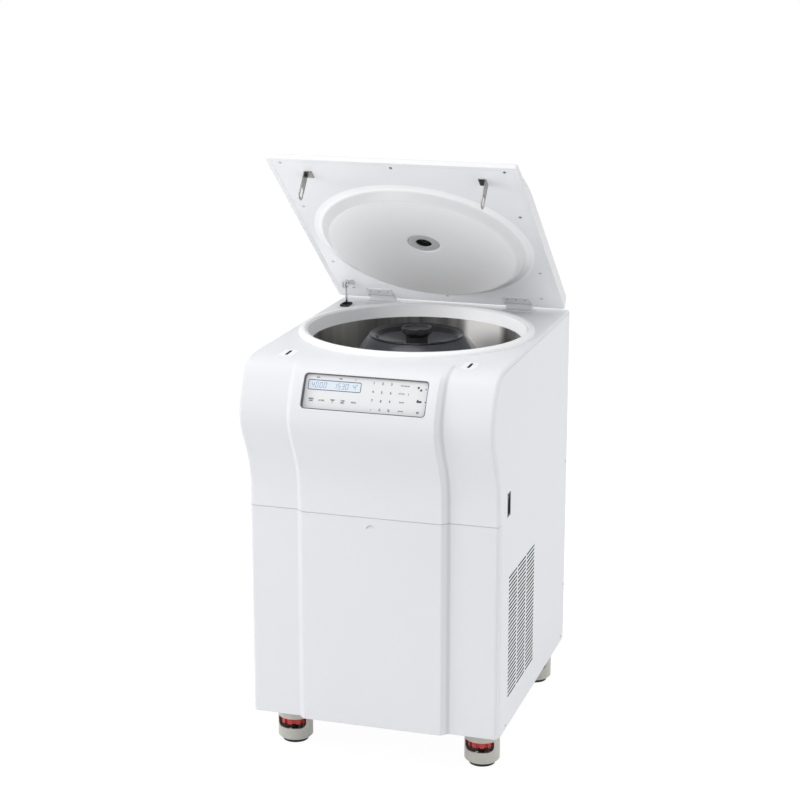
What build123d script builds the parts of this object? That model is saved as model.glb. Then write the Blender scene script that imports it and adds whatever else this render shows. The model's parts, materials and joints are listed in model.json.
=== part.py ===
"""Floor-standing refrigerated bench centrifuge on four levelling casters, lid held open by a gas strut.

Millimetres. +X is the machine's right side seen from the front, +Y its back, +Z up.
The origin is on the floor under the middle of the whole machine, front to back and side to side.
"""

import math
import os

from build123d import *

os.makedirs("parts", exist_ok=True)

# ---------------------------------------------------------------- cabinet sizes
body_width = 580.0
body_depth = 673.0
nose_reach = 78.0          # the front bulge stands out this far from the lower front
pan_z = 106.0              # underside of the base pan, on top of the casters
cover_bottom_z = 108.0
seam_z = 607.0             # between the upper cover and the lower front panel
deck_z = 955.0
shelf_z = 560.0
cover_wall = 3.0
sheet = 2.0                # side and rear sheets
lower_wall = 2.5
seam_gap = 0.8
corner_round = 7.0
cover_return = 12.5        # how far the front skin turns back along each side
lower_return = 24.0
deck_rim = 8.0             # how far the deck turns down along each side

rear_y = (body_depth + nose_reach) / 2
front_y = rear_y - body_depth
half_width = body_width / 2

# front bulge, as distances forward of the lower front plane
crown_back = 60.0
shoulder_out = 32.0
shoulder_z = 922.0
nose_z = 834.0
waist_out = 20.0
waist_z = 733.0
foot_z = 646.0
crown_pull = 2.0           # how slowly the curve leaves the deck
band_rise = 14.0           # the centre band stands this far proud of the two pillars
band_nose_extra = 2.0
band_half = 163.0
band_flank = 14.0
band_cap = 12.0            # the band's hollow stops this far under the deck
pillar_nose = nose_reach - band_rise - band_nose_extra

# ---------------------------------------------------------------- chamber and rotor sizes
chamber_y = rear_y - 331.8
ring_top_z = 966.0
ring_outer = half_width - 15.0
ring_inner = ring_outer - 16.0
ring_lip = 4.0             # the collar's rim overlaps the deck by this much
ring_round = 8.5           # outer rounding of the collar's rim
ring_inner_round = 5.0
gasket_top = ring_inner - 4.0
gasket_foot = gasket_top - 9.0
gasket_foot_z = 935.0
bowl_floor_z = 752.0
bowl_wall = 2.0
bowl_corner = 30.0
coil_tube = 4.8
coil_turns = 6
coil_pitch = 24.0
foam_outer = half_width - 7.0
foam_floor_z = 700.0
motor_radius = 78.0
motor_plate_z = 584.0
motor_plate_thick = 8.0
motor_top_z = 736.0
shaft_radius = 12.0
rotor_rim = 110.0
rotor_rim_z = 947.0
rotor_radius = gasket_foot - 56.0
rotor_bottom_z = 786.0
tube_hole = 30.0
tube_count = 6
tube_tilt = 25.0
dish_z = 926.0
knob_radius = 36.0
knob_top_z = 964.0
running_gap = 0.05
piece_gap = 0.3

# ---------------------------------------------------------------- lid sizes
lid_angle = 38.98          # opening angle at rest
hinge_y = rear_y - 40.5
hinge_z = 982.0
plate_drop = 15.0          # lid underside below the hinge axis
lid_foot = 7.4             # rear edge of the lid behind the hinge axis
lid_length = body_depth - 22.0
lid_width = body_width - 4.0
lid_thick = 35.0
lid_front_thick = 15.0
lid_margin = 11.5
panel_thick = 2.5
plug_root = gasket_top - 11.0
plug_radius = plug_root - 23.0
plug_drop = 19.4
port_radius = 38.0
port_hole = 19.0
hinge_x = half_width - 116.0
hinge_length = 64.0
knuckle_radius = 8.0
pin_radius = 4.0
striker_x = half_width - 81.0
striker_width = 26.0
striker_hang = 65.0
striker_thick = 2.0
striker_station = lid_length - 61.0    # striker centre, measured along the lid from its rear edge

# ---------------------------------------------------------------- casters
caster_x = half_width - 61.5
caster_front_y = front_y + 110.0
caster_rear_y = rear_y - 42.5
caster_radius = 41.0
caster_wall = 3.0
pad_radius = 30.0
wheel_radius = 21.0
wheel_lift = 6.0


def front_points(out, inset):
    """Front curve from the deck down to the straight foot, moved forward by out and inward by inset."""
    rows = [
        (crown_back, deck_z, (0, -1)),
        (-shoulder_out - out * 0.8, shoulder_z, (math.sin(math.radians(40)), -math.cos(math.radians(40)))),
        (-pillar_nose - out * (1 + band_nose_extra / band_rise), nose_z, (1, 0)),
        (-waist_out - out, waist_z, (math.cos(math.radians(24)), math.sin(math.radians(24)))),
        (-out, foot_z, (1, 0)),
    ]
    return [(front_y + y + inset * n[0], z + inset * n[1]) for y, z, n in rows]


def cover_face(out, inset, top_inset, bottom, rear):
    """Side section of the upper cover, filled in down to bottom and back to rear."""
    points = front_points(out, inset)
    points[0] = (points[0][0], deck_z - top_inset)
    with BuildSketch(Plane.YZ) as section:
        with BuildLine():
            Spline(*points, tangents=[(-1, 0), (0, -1)], tangent_scalars=(crown_pull, 1))
            Polyline(points[-1], (points[-1][0], bottom), (rear, bottom), (rear, points[0][1]), points[0])
        make_face()
    return section.sketch


def slab(face, half, shift=0.0):
    """A side section spread evenly to both sides of the middle plane."""
    return extrude(Pos(shift, 0, 0) * face, amount=half, dir=(1, 0, 0), both=True)


# ================================================================ upper cover
panel_width = 283.0
panel_height = 81.0
panel_round = 9.0
panel_tilt = 26.0
panel_z = 895.0
deck_cut = 30.0            # the openings cut this deep, through the deck and the start of its curve
panel_depth = 30.0         # the opening behind the keypad floor
panel_out = 47.0           # the keypad floor, forward of the lower front plane
slot_long = 37.5
slot_wide = 6.0
bolt_y = hinge_y + lid_foot - striker_station
latch_y = bolt_y - 5.0     # the slot is set forward, because the catch swings in from the front
escutcheon_long = 46.0
escutcheon_wide = 26.0

strut_x = 40.0 - half_width
grommet_y = hinge_y - 67.5
grommet_x = strut_x + 0.7
grommet_long = 36.0
grommet_wide = 18.0
grommet_round = 4.0

tilt = math.radians(panel_tilt)
panel_plane = Plane(
    origin=(0, front_y - panel_out, panel_z),
    x_dir=(1, 0, 0),
    z_dir=(0, -math.cos(tilt), math.sin(tilt)),
)

skin = cover_face(0, 0, 0, seam_z, rear_y)
band = cover_face(band_rise, 0, 0, seam_z, rear_y)
open_z = seam_z - 1
open_y = rear_y + 1
with BuildPart() as band_hollow:
    add(slab(cover_face(band_rise, cover_wall, cover_wall, open_z, open_y), band_half - cover_wall))
    split(bisect_by=Plane.XY.offset(deck_z - band_cap), keep=Keep.BOTTOM)
with BuildPart() as top_cover:
    add(slab(skin, half_width))
    outer_edges = top_cover.edges().filter_by(
        lambda e: abs(abs(e.center().X) - half_width) < 0.01
        and (e.center().Z > seam_z + 5)
        and e.center().Y < rear_y - 5
    )
    fillet(outer_edges, corner_round)
    add(slab(band, band_half))
    for side in (1, -1):
        add(loft([Pos(side * band_half, 0, 0) * band, Pos(side * (band_half + band_flank), 0, 0) * skin], ruled=True))
    add(slab(cover_face(0, cover_wall, cover_wall, open_z, open_y), half_width - cover_wall), mode=Mode.SUBTRACT)
    add(slab(cover_face(0, cover_return, deck_rim, open_z, open_y), half_width + 1), mode=Mode.SUBTRACT)
    add(band_hollow.part, mode=Mode.SUBTRACT)
    with BuildSketch(Plane.XY.offset(deck_z + 1)):
        with Locations((0, chamber_y)):
            Circle(ring_outer - ring_lip)
        with Locations((-striker_x, latch_y), (striker_x, latch_y)):
            Rectangle(escutcheon_wide + 2 * piece_gap, escutcheon_long + 2 * piece_gap)
        with Locations((grommet_x, grommet_y)):
            RectangleRounded(grommet_wide, grommet_long, grommet_round)
    extrude(amount=-deck_cut, mode=Mode.SUBTRACT)
    with BuildSketch(panel_plane.offset(-panel_depth)):
        RectangleRounded(panel_width, panel_height, panel_round)
    extrude(amount=panel_depth + nose_reach, mode=Mode.SUBTRACT)
top_cover.part.label = "top_cover"
export_step(top_cover.part, "parts/top_cover.step")


# ================================================================ keypad and display
tray_wall = 2.0
tray_floor = 2.0
membrane_thick = 1.0
window_width = 121.0
window_height = 23.5
window_x = 69.0 - panel_width / 2
window_up = panel_height / 2 - 24.7
window_round = 3.0

with BuildPart() as tray_block:
    with BuildSketch(panel_plane.offset(-membrane_thick - tray_floor)):
        RectangleRounded(panel_width + 2 * tray_wall, panel_height + 2 * tray_wall, panel_round + tray_wall)
    extrude(amount=40)
    with BuildSketch(panel_plane.offset(-membrane_thick)):
        RectangleRounded(panel_width, panel_height, panel_round)
    extrude(amount=60, mode=Mode.SUBTRACT)
under_skin = slab(cover_face(band_rise, cover_wall + piece_gap, cover_wall + piece_gap, seam_z, rear_y), band_half)
with BuildPart() as control_tray:
    add(tray_block.part & under_skin)
control_tray.part.label = "control_tray"
export_step(control_tray.part, "parts/control_tray.step")

with BuildPart() as keypad_membrane:
    with BuildSketch(panel_plane.offset(-membrane_thick)):
        RectangleRounded(panel_width - 2 * piece_gap, panel_height - 2 * piece_gap, panel_round - piece_gap)
        with Locations((window_x, window_up)):
            RectangleRounded(window_width, window_height, window_round, mode=Mode.SUBTRACT)
    extrude(amount=membrane_thick)
keypad_membrane.part.label = "keypad_membrane"
export_step(keypad_membrane.part, "parts/keypad_membrane.step")

with BuildPart() as display_window:
    with BuildSketch(panel_plane.offset(-membrane_thick)):
        with Locations((window_x, window_up)):
            RectangleRounded(window_width - piece_gap, window_height - piece_gap, window_round - piece_gap / 2)
    extrude(amount=membrane_thick)
display_window.part.label = "display_window"
export_step(display_window.part, "parts/display_window.step")

# ================================================================ latches under the deck
escutcheon_z = 946.0
escutcheon_top = 952.0
bolt_long = 26.0
bolt_wide = 12.0
bolt_high = 8.0
bolt_z = 921.0
housing_z = 893.0
housing_half_y = 19.5
housing_end = half_width - cover_wall - 0.5
tab_top_z = 928.0
bolt_start = striker_x + 12.0
housing_inner = striker_x - 11.0
channel_long = 58.0
side_inner = half_width - sheet

housing_middle = (housing_end + housing_inner) / 2

with BuildPart() as latch_escutcheons:
    with BuildSketch(Plane.XY.offset(escutcheon_z)):
        with Locations((-striker_x, latch_y), (striker_x, latch_y)):
            RectangleRounded(escutcheon_wide, escutcheon_long, 2)
            RectangleRounded(slot_wide, slot_long, 2, mode=Mode.SUBTRACT)
    extrude(amount=escutcheon_top - escutcheon_z)
    fillet(latch_escutcheons.edges().group_by(Axis.Z)[-1], 0.6)
latch_escutcheons.part.label = "latch_escutcheons"
export_step(latch_escutcheons.part, "parts/latch_escutcheons.step")

with BuildPart() as latch_housings:
    with BuildSketch(Plane.XY.offset(housing_z)):
        with Locations((-housing_middle, latch_y), (housing_middle, latch_y)):
            Rectangle(housing_end - housing_inner, 2 * housing_half_y)
        with Locations((-striker_x, latch_y), (striker_x, latch_y)):
            Rectangle(slot_wide, slot_long - 1, mode=Mode.SUBTRACT)
    extrude(amount=escutcheon_z - housing_z)
    for side in (-1, 1):
        with BuildSketch(Plane.YZ.offset(side * side_inner)):
            with Locations((latch_y, (housing_z + tab_top_z) / 2)):
                Rectangle(2 * housing_half_y, tab_top_z - housing_z)
        extrude(amount=-side * 10)
        with BuildSketch(Plane.YZ.offset(side * (housing_inner - 1))):
            with Locations((bolt_y, bolt_z)):
                Rectangle(bolt_wide + 2 * running_gap, bolt_high + 2 * running_gap)
        extrude(amount=side * channel_long, mode=Mode.SUBTRACT)
latch_housings.part.label = "latch_housings"
export_step(latch_housings.part, "parts/latch_housings.step")

for side, name in ((-1, "latch_bolt_left"), (1, "latch_bolt_right")):
    with BuildPart() as latch_bolt:
        with BuildSketch(Plane.YZ.offset(side * bolt_start)):
            with Locations((bolt_y, bolt_z)):
                Rectangle(bolt_wide, bolt_high)
        extrude(amount=side * bolt_long)
        chamfer(latch_bolt.edges().filter_by(Axis.Y).sort_by(lambda e: abs(e.center().X))[:2], 2)
    latch_bolt.part.label = name
    export_step(latch_bolt.part, "parts/" + name + ".step")

# ================================================================ lower front panel
pull_radius = 11.0
pull_z = 578.0
pull_tilt = 24.0


def lower_outline(inset):
    """Plan outline of the lower front panel, inset from its skin."""
    flank = band_half + band_flank
    points = [
        (half_width - inset, front_y + lower_return),
        (half_width - inset, front_y + inset),
        (flank - inset * 0.41, front_y + inset),
        (band_half - inset * 0.41, front_y - band_rise + inset),
    ]
    return points + [(-x, y) for x, y in reversed(points)]


with BuildPart() as lower_front_panel:
    with BuildSketch(Plane.XY.offset(cover_bottom_z)) as plan:
        with BuildLine():
            Polyline(*lower_outline(0), close=True)
        make_face()
        corners = plan.vertices().filter_by(lambda v: v.Y < front_y + 1)
        fillet(corners.filter_by(lambda v: abs(v.X) > half_width - 1), corner_round)
        fillet(plan.vertices().filter_by(lambda v: v.Y < front_y + 1 and abs(v.X) < band_half + band_flank + 1), 4)
    extrude(amount=seam_z - seam_gap - cover_bottom_z)
    with BuildSketch(Plane.XY.offset(cover_bottom_z)):
        with BuildLine():
            Polyline(*[(x, y + (1 if y > front_y + lower_return - 1 else 0)) for x, y in lower_outline(lower_wall)],
                     close=True)
        make_face()
    extrude(amount=seam_z - cover_bottom_z, mode=Mode.SUBTRACT)
    with BuildSketch(Plane.XZ.offset(-(front_y - band_rise + lower_wall))):
        with Locations((0, pull_z + 2)):
            Rectangle(3 * pull_radius, 3 * pull_radius)
    extrude(amount=-9)
    scoop_angle = math.radians(pull_tilt)
    scoop = Plane(
        origin=(0, front_y - band_rise, pull_z),
        x_dir=(1, 0, 0),
        z_dir=(0, -math.cos(scoop_angle), math.sin(scoop_angle)),
    )
    with BuildSketch(scoop):
        Circle(pull_radius)
    extrude(amount=20, mode=Mode.SUBTRACT)
lower_front_panel.part.label = "lower_front_panel"
export_step(lower_front_panel.part, "parts/lower_front_panel.step")

# ================================================================ side and rear panels
flange = 16.0
side_low_z = pan_z - 5.0
switch_y = front_y + 86.5
switch_z = 635.5
switch_wide = 25.0
switch_tall = 51.0
vent_columns = 3
vent_rows = 31
vent_pitch_z = 9.5
vent_pitch_y = 84.0
vent_long = 76.0
vent_tall = 4.2
vent_y = front_y + 218.5
vent_z = 316.0


def side_face(bottom):
    """Side sheet outline: it follows the front bulge above the seam and steps back below it."""
    face = cover_face(0, cover_return + seam_gap, deck_rim + seam_gap, seam_z, rear_y)
    with BuildSketch(Plane.YZ) as lower:
        with Locations(((front_y + lower_return + seam_gap + rear_y) / 2, (bottom + seam_z + 1) / 2)):
            Rectangle(rear_y - front_y - lower_return - seam_gap, seam_z + 1 - bottom)
    return face + lower.sketch


def side_sheet(side):
    """One side sheet with its rear flange, standing on the outside of the base pan."""
    with BuildPart() as panel:
        add(extrude(Pos(side * half_width, 0, 0) * side_face(side_low_z), amount=-side * sheet, dir=(1, 0, 0)))
        with BuildSketch(Plane.XY.offset(pan_z)):
            with Locations((side * (half_width - flange / 2), rear_y - sheet * 1.5)):
                Rectangle(flange, sheet)
        extrude(amount=deck_z - deck_rim - seam_gap - pan_z)
    return panel.part


with BuildPart() as left_side_panel:
    add(side_sheet(-1))
left_side_panel.part.label = "left_side_panel"
export_step(left_side_panel.part, "parts/left_side_panel.step")

with BuildPart() as right_side_panel:
    add(side_sheet(1))
    with BuildSketch(Plane.YZ.offset(half_width + 1)):
        with Locations((switch_y, switch_z)):
            Rectangle(switch_wide + 4 + 2 * piece_gap, switch_tall + 4 + 2 * piece_gap)
        with Locations((vent_y, vent_z)):
            with GridLocations(vent_pitch_y, vent_pitch_z, vent_columns, vent_rows):
                Rectangle(vent_long, vent_tall)
    extrude(amount=-10, mode=Mode.SUBTRACT)
right_side_panel.part.label = "right_side_panel"
export_step(right_side_panel.part, "parts/right_side_panel.step")

inlet_x = 100.0 - half_width
inlet_z = 240.0
inlet_wide = 48.0
inlet_tall = 30.0
rear_vent_rows = 14
rear_vent_pitch = 16.0
rear_vent_x = 110.0
rear_vent_z = 300.0
rear_vent_long = 96.0
rear_vent_tall = 6.0
with BuildPart() as rear_panel:
    with BuildSketch(Plane.XZ.offset(-rear_y)):
        with Locations((0, (cover_bottom_z + deck_z - cover_wall - piece_gap) / 2)):
            Rectangle(2 * (half_width - cover_wall - piece_gap), deck_z - cover_wall - piece_gap - cover_bottom_z)
        with Locations((inlet_x, inlet_z)):
            Rectangle(inlet_wide, inlet_tall, mode=Mode.SUBTRACT)
        with Locations((rear_vent_x, rear_vent_z)):
            with GridLocations(rear_vent_long + 14, rear_vent_pitch, 2, rear_vent_rows):
                SlotOverall(rear_vent_long, rear_vent_tall, mode=Mode.SUBTRACT)
    extrude(amount=sheet)
rear_panel.part.label = "rear_panel"
export_step(rear_panel.part, "parts/rear_panel.step")

with BuildPart() as power_inlet:
    with BuildSketch(Plane.XZ.offset(-(rear_y - sheet - 1))):
        with Locations((inlet_x, inlet_z)):
            Rectangle(inlet_wide - 1, inlet_tall - 1)
    extrude(amount=26)
    with BuildSketch(Plane.XZ.offset(-(rear_y - sheet - 1))):
        with Locations((inlet_x, inlet_z)):
            RectangleRounded(27, 20, 4)
    extrude(amount=18, mode=Mode.SUBTRACT)
    with BuildSketch(Plane.XZ.offset(-(rear_y - sheet - 19))):
        with Locations((inlet_x - 8, inlet_z - 3), (inlet_x + 8, inlet_z - 3), (inlet_x, inlet_z + 3)):
            Rectangle(2, 5)
    extrude(amount=-12)
    with BuildSketch(Plane.XZ.offset(-(rear_y - sheet))):
        with Locations((inlet_x, inlet_z)):
            Rectangle(inlet_wide + 10, inlet_tall + 10)
            RectangleRounded(27, 20, 4, mode=Mode.SUBTRACT)
    extrude(amount=2)
power_inlet.part.label = "power_inlet"
export_step(power_inlet.part, "parts/power_inlet.step")

# ================================================================ base pan, shelf
pan_inset = 8.0
pan_wall = 2.5
pan_rim_z = 150.0
rail_size = 24.0
rail_wall = 2.5
shelf_wall = 3.0
lug_long = 30.0            # lugs that carry the side and rear sheets
lug_tall = 20.0
with BuildPart() as base_pan:
    with BuildSketch(Plane.XY.offset(pan_z)):
        with Locations((0, (front_y + rear_y) / 2)):
            Rectangle(body_width - 2 * pan_inset, body_depth - 2 * pan_inset)
    extrude(amount=pan_rim_z - pan_z)
    with BuildSketch(Plane.XY.offset(pan_z + pan_wall)):
        with Locations((0, (front_y + rear_y) / 2)):
            Rectangle(body_width - 2 * (pan_inset + pan_wall), body_depth - 2 * (pan_inset + pan_wall))
    extrude(amount=pan_rim_z, mode=Mode.SUBTRACT)
    with BuildSketch(Plane.XY.offset(cover_bottom_z)):
        with Locations((0, rear_y - (pan_inset + sheet) / 2 - sheet)):
            with GridLocations(body_width - 180, 10, 2, 1):
                Rectangle(lug_long, pan_inset - sheet)
        with GridLocations(2 * (side_inner - (pan_inset - sheet) / 2), body_depth - 273, 2, 2):
            Rectangle(pan_inset - sheet, lug_long)
    extrude(amount=lug_tall)
base_pan.part.label = "base_pan"
export_step(base_pan.part, "parts/base_pan.step")

motor_hole = 60.0
shelf_front = front_y + 40.0
shelf_rear = rear_y - 4.0
shelf_middle = (shelf_front + shelf_rear) / 2
with BuildPart() as motor_shelf:
    with BuildSketch(Plane.XY.offset(shelf_z)):
        with Locations((0, shelf_middle)):
            Rectangle(2 * side_inner, shelf_rear - shelf_front)
        with Locations((0, chamber_y)):
            Circle(motor_hole, mode=Mode.SUBTRACT)
    extrude(amount=shelf_wall)
    with BuildSketch(Plane.XY.offset(shelf_z - rail_size)):
        with Locations((0, shelf_middle)):
            with GridLocations(2 * side_inner - rail_wall, 0, 2, 1):
                Rectangle(rail_wall, shelf_rear - shelf_front - 70)
            with GridLocations(0, shelf_rear - shelf_front - 14, 1, 2):
                Rectangle(2 * side_inner - 76, rail_wall)
    extrude(amount=rail_size)
motor_shelf.part.label = "motor_shelf"
export_step(motor_shelf.part, "parts/motor_shelf.step")

# ================================================================ chamber
upright = Plane(origin=(0, chamber_y, 0), x_dir=(1, 0, 0), z_dir=(0, -1, 0))
spin_axis = Axis((0, chamber_y, 0), (0, 0, 1))


def turned(points, rounds=()):
    """Solid of revolution about the rotor's axis from (radius, height) points, with some corners rounded."""
    with BuildPart() as body:
        with BuildSketch(upright) as profile:
            with BuildLine():
                Polyline(*points, close=True)
            make_face()
            for radius, where in rounds:
                fillet(profile.vertices().sort_by_distance(where)[0], radius)
        revolve(axis=spin_axis)
    return body.part


deck_hole = ring_outer - ring_lip
ring_points = [
    (ring_inner, ring_top_z),
    (ring_outer, ring_top_z),
    (ring_outer, deck_z),
    (deck_hole - piece_gap, deck_z),
    (deck_hole - piece_gap, gasket_foot_z),
    (gasket_foot + ring_inner - gasket_top, gasket_foot_z),
]
with BuildPart() as chamber_ring:
    add(turned(ring_points, [(ring_round, (ring_outer, ring_top_z)), (ring_inner_round, (ring_inner, ring_top_z))]))
chamber_ring.part.label = "chamber_ring"
export_step(chamber_ring.part, "parts/chamber_ring.step")

gasket_lip = ring_inner_round - 0.5
gasket_slope = (gasket_top - gasket_foot) / (ring_top_z - gasket_foot_z)
gasket_points = [
    (gasket_top, ring_top_z - gasket_lip),
    (ring_inner - piece_gap - gasket_lip * gasket_slope, ring_top_z - gasket_lip),
    (gasket_foot + ring_inner - gasket_top - piece_gap, gasket_foot_z),
    (gasket_foot, gasket_foot_z),
]
with BuildPart() as ring_gasket:
    add(turned(gasket_points))
ring_gasket.part.label = "ring_gasket"
export_step(ring_gasket.part, "parts/ring_gasket.step")

bowl_radius = gasket_foot
bowl_lip = deck_hole - piece_gap
bowl_hole = 48.0
bowl_points = [
    (bowl_radius - bowl_wall, gasket_foot_z),
    (bowl_lip, gasket_foot_z),
    (bowl_lip, gasket_foot_z - bowl_wall),
    (bowl_radius, gasket_foot_z - bowl_wall),
    (bowl_radius, bowl_floor_z),
    (bowl_hole, bowl_floor_z),
    (bowl_hole, bowl_floor_z + bowl_wall),
    (bowl_radius - bowl_wall, bowl_floor_z + bowl_wall),
]
with BuildPart() as chamber_bowl:
    add(turned(bowl_points, [
        (bowl_corner, (bowl_radius, bowl_floor_z)),
        (bowl_corner - bowl_wall, (bowl_radius - bowl_wall, bowl_floor_z + bowl_wall)),
    ]))
chamber_bowl.part.label = "chamber_bowl"
export_step(chamber_bowl.part, "parts/chamber_bowl.step")

coil_radius = bowl_radius + piece_gap + coil_tube
with BuildPart() as cooling_coil:
    for turn in range(coil_turns):
        with Locations((0, chamber_y, bowl_floor_z + bowl_corner + 20 + turn * coil_pitch)):
            Torus(coil_radius, coil_tube)
cooling_coil.part.label = "cooling_coil"
export_step(cooling_coil.part, "parts/cooling_coil.step")

foam_inner = coil_radius + coil_tube + 0.6
foam_points = [
    (foam_inner, gasket_foot_z - bowl_wall),
    (foam_outer, gasket_foot_z - bowl_wall),
    (foam_outer, shelf_z + shelf_wall),
    (foam_outer - 28, shelf_z + shelf_wall),
    (foam_outer - 28, foam_floor_z),
    (motor_radius + 8, foam_floor_z),
    (motor_radius + 8, bowl_floor_z),
    (foam_inner, bowl_floor_z),
]
with BuildPart() as foam_jacket:
    add(turned(foam_points))
foam_jacket.part.label = "foam_jacket"
export_step(foam_jacket.part, "parts/foam_jacket.step")

# ================================================================ motor and rotor
mount_circle = 74.0
mount_radius = 11.0
with BuildPart() as motor_mounts:
    with BuildSketch(Plane.XY.offset(shelf_z + shelf_wall)):
        with Locations((0, chamber_y)):
            with PolarLocations(mount_circle, 4, start_angle=45):
                Circle(mount_radius)
    extrude(amount=motor_plate_z - shelf_z - shelf_wall)
motor_mounts.part.label = "motor_mounts"
export_step(motor_mounts.part, "parts/motor_mounts.step")

fin_gap = 9.0
with BuildPart() as motor_body:
    with BuildSketch(Plane.XY.offset(motor_plate_z)):
        with Locations((0, chamber_y)):
            Circle(motor_radius + 14)
    extrude(amount=motor_plate_thick)
    add(turned([
        (0, motor_plate_z), (motor_radius - 4, motor_plate_z), (motor_radius - 4, motor_top_z - 14),
        (motor_radius - 34, motor_top_z), (0, motor_top_z),
    ]))
    with BuildSketch(Plane.XY.offset(motor_plate_z + motor_plate_thick + fin_gap)):
        with Locations((0, chamber_y)):
            Circle(motor_radius)
    extrude(amount=motor_top_z - 14 - motor_plate_z - motor_plate_thick - fin_gap)
    with BuildSketch(Plane.XY.offset(motor_top_z)):
        with Locations((0, chamber_y)):
            Circle(shaft_radius + running_gap)
    extrude(amount=-90, mode=Mode.SUBTRACT)
motor_body.part.label = "motor_body"
export_step(motor_body.part, "parts/motor_body.step")

hub_z = 800.0
shaft_top_z = 905.0
with BuildPart() as drive_shaft:
    with BuildSketch(Plane.XY.offset(motor_top_z - 85)):
        with Locations((0, chamber_y)):
            Circle(shaft_radius)
    extrude(amount=shaft_top_z - motor_top_z + 85)
drive_shaft.part.label = "drive_shaft"
export_step(drive_shaft.part, "parts/drive_shaft.step")

bore = shaft_radius + 0.02
rotor_points = [
    (bore, hub_z - 8),
    (40, hub_z - 8),
    (46, rotor_bottom_z),
    (150, rotor_bottom_z),
    (182, 796),
    (rotor_radius, 818),
    (rotor_radius, 840),
    (142, 909),
    (117, 940),
    (rotor_rim, rotor_rim_z),
    (rotor_rim - 5, rotor_rim_z),
    (rotor_rim - 8, dish_z - 6),
    (34, dish_z - 6),
    (30, shaft_top_z + 2),
    (bore, shaft_top_z + 2),
]
tube_lean = math.radians(tube_tilt)
tube_mouth = 69.0
with BuildPart() as rotor_body:
    add(turned(rotor_points, [(10, (rotor_radius, 840)), (14, (rotor_radius, 818)), (12, (142, 909))]))
    for index in range(tube_count):
        turn = math.radians(360 / tube_count * (index + 0.5))
        outward = Vector(math.cos(turn), math.sin(turn), 0)
        down = outward * math.sin(tube_lean) + Vector(0, 0, -math.cos(tube_lean))
        mouth = Vector(0, chamber_y, dish_z - 6) + outward * tube_mouth
        with BuildSketch(Plane(origin=mouth - down * 22, z_dir=down)):
            Circle(tube_hole)
        extrude(amount=124, mode=Mode.SUBTRACT)
rotor_body.part.label = "rotor_body"
export_step(rotor_body.part, "parts/rotor_body.step")

lid_rim = rotor_rim - 6
with BuildPart() as rotor_lid:
    add(turned([
        (10 + running_gap, dish_z - 2), (28, dish_z - 2), (lid_rim - 6, dish_z + 8), (lid_rim - 6, dish_z - 5.7),
        (lid_rim - 3, dish_z - 5.7), (lid_rim - 0.5, rotor_rim_z + 0.3), (rotor_rim + 2, rotor_rim_z + 0.3),
        (rotor_rim, rotor_rim_z + 3), (lid_rim - 6, rotor_rim_z - 1), (lid_rim - 14, dish_z + 12),
        (30, dish_z + 2), (10 + running_gap, dish_z + 2),
    ]))
rotor_lid.part.label = "rotor_lid"
export_step(rotor_lid.part, "parts/rotor_lid.step")

knob_flutes = 6
knob_stem = 25.5
knob_crown = 16.0
knob_recess = 4.0
flute_radius = 14.0
flute_deep = 3.0
knob_base_z = dish_z + 2 + piece_gap
knob_crown_z = knob_top_z - knob_crown
with BuildPart() as rotor_knob:
    add(turned([
        (0, shaft_top_z + 8), (10, shaft_top_z + 8), (10, knob_base_z), (knob_stem, knob_base_z),
        (knob_stem, knob_crown_z - 5), (knob_radius - 2, knob_crown_z + 3), (knob_radius, knob_crown_z + 6),
        (knob_radius, knob_top_z - 1), (knob_radius - 1, knob_top_z), (knob_radius - 5, knob_top_z),
        (knob_radius - 8, knob_top_z - knob_recess), (0, knob_top_z - knob_recess),
    ]))
    with BuildSketch(Plane.XY.offset(knob_crown_z - 6)):
        with Locations((0, chamber_y)):
            with PolarLocations(knob_radius + flute_radius - flute_deep, knob_flutes):
                Circle(flute_radius)
    extrude(amount=knob_crown + 10, mode=Mode.SUBTRACT)
rotor_knob.part.label = "rotor_knob"
export_step(rotor_knob.part, "parts/rotor_knob.step")


# ================================================================ lid, in its own tilted frame
lean = math.radians(lid_angle)
lid_frame = Plane(origin=(0, hinge_y, hinge_z), x_dir=(1, 0, 0), z_dir=(0, math.sin(lean), math.cos(lean)))


def lid_level(height):
    """Plane across the lid, height above its underside, with its origin under the hinge axis."""
    return lid_frame.offset(height - plate_drop)


def lid_side(x):
    """Plane along the lid at side position x: its x runs back along the lid, its y out of the lid's top."""
    origin = lid_frame.from_local_coords((x, 0, 0))
    return Plane(origin=origin, x_dir=lid_frame.y_dir, z_dir=(1, 0, 0))


def station(along):
    """Distance in front of the hinge axis of a station measured from the lid's rear edge."""
    return lid_foot - along


def lid_profile(inset):
    """Side outline of the lid shell above its underside, in along-lid and height values."""
    top = lid_thick - plate_drop - inset
    front = lid_front_thick - plate_drop - inset
    bottom = -plate_drop
    return [
        (station(inset), bottom),
        (station(inset), top),
        (station(lid_length * 0.72), top),
        (station(lid_length * 0.95), front + 1),
        (station(lid_length - inset), front),
        (station(lid_length - inset), bottom),
    ]


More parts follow.
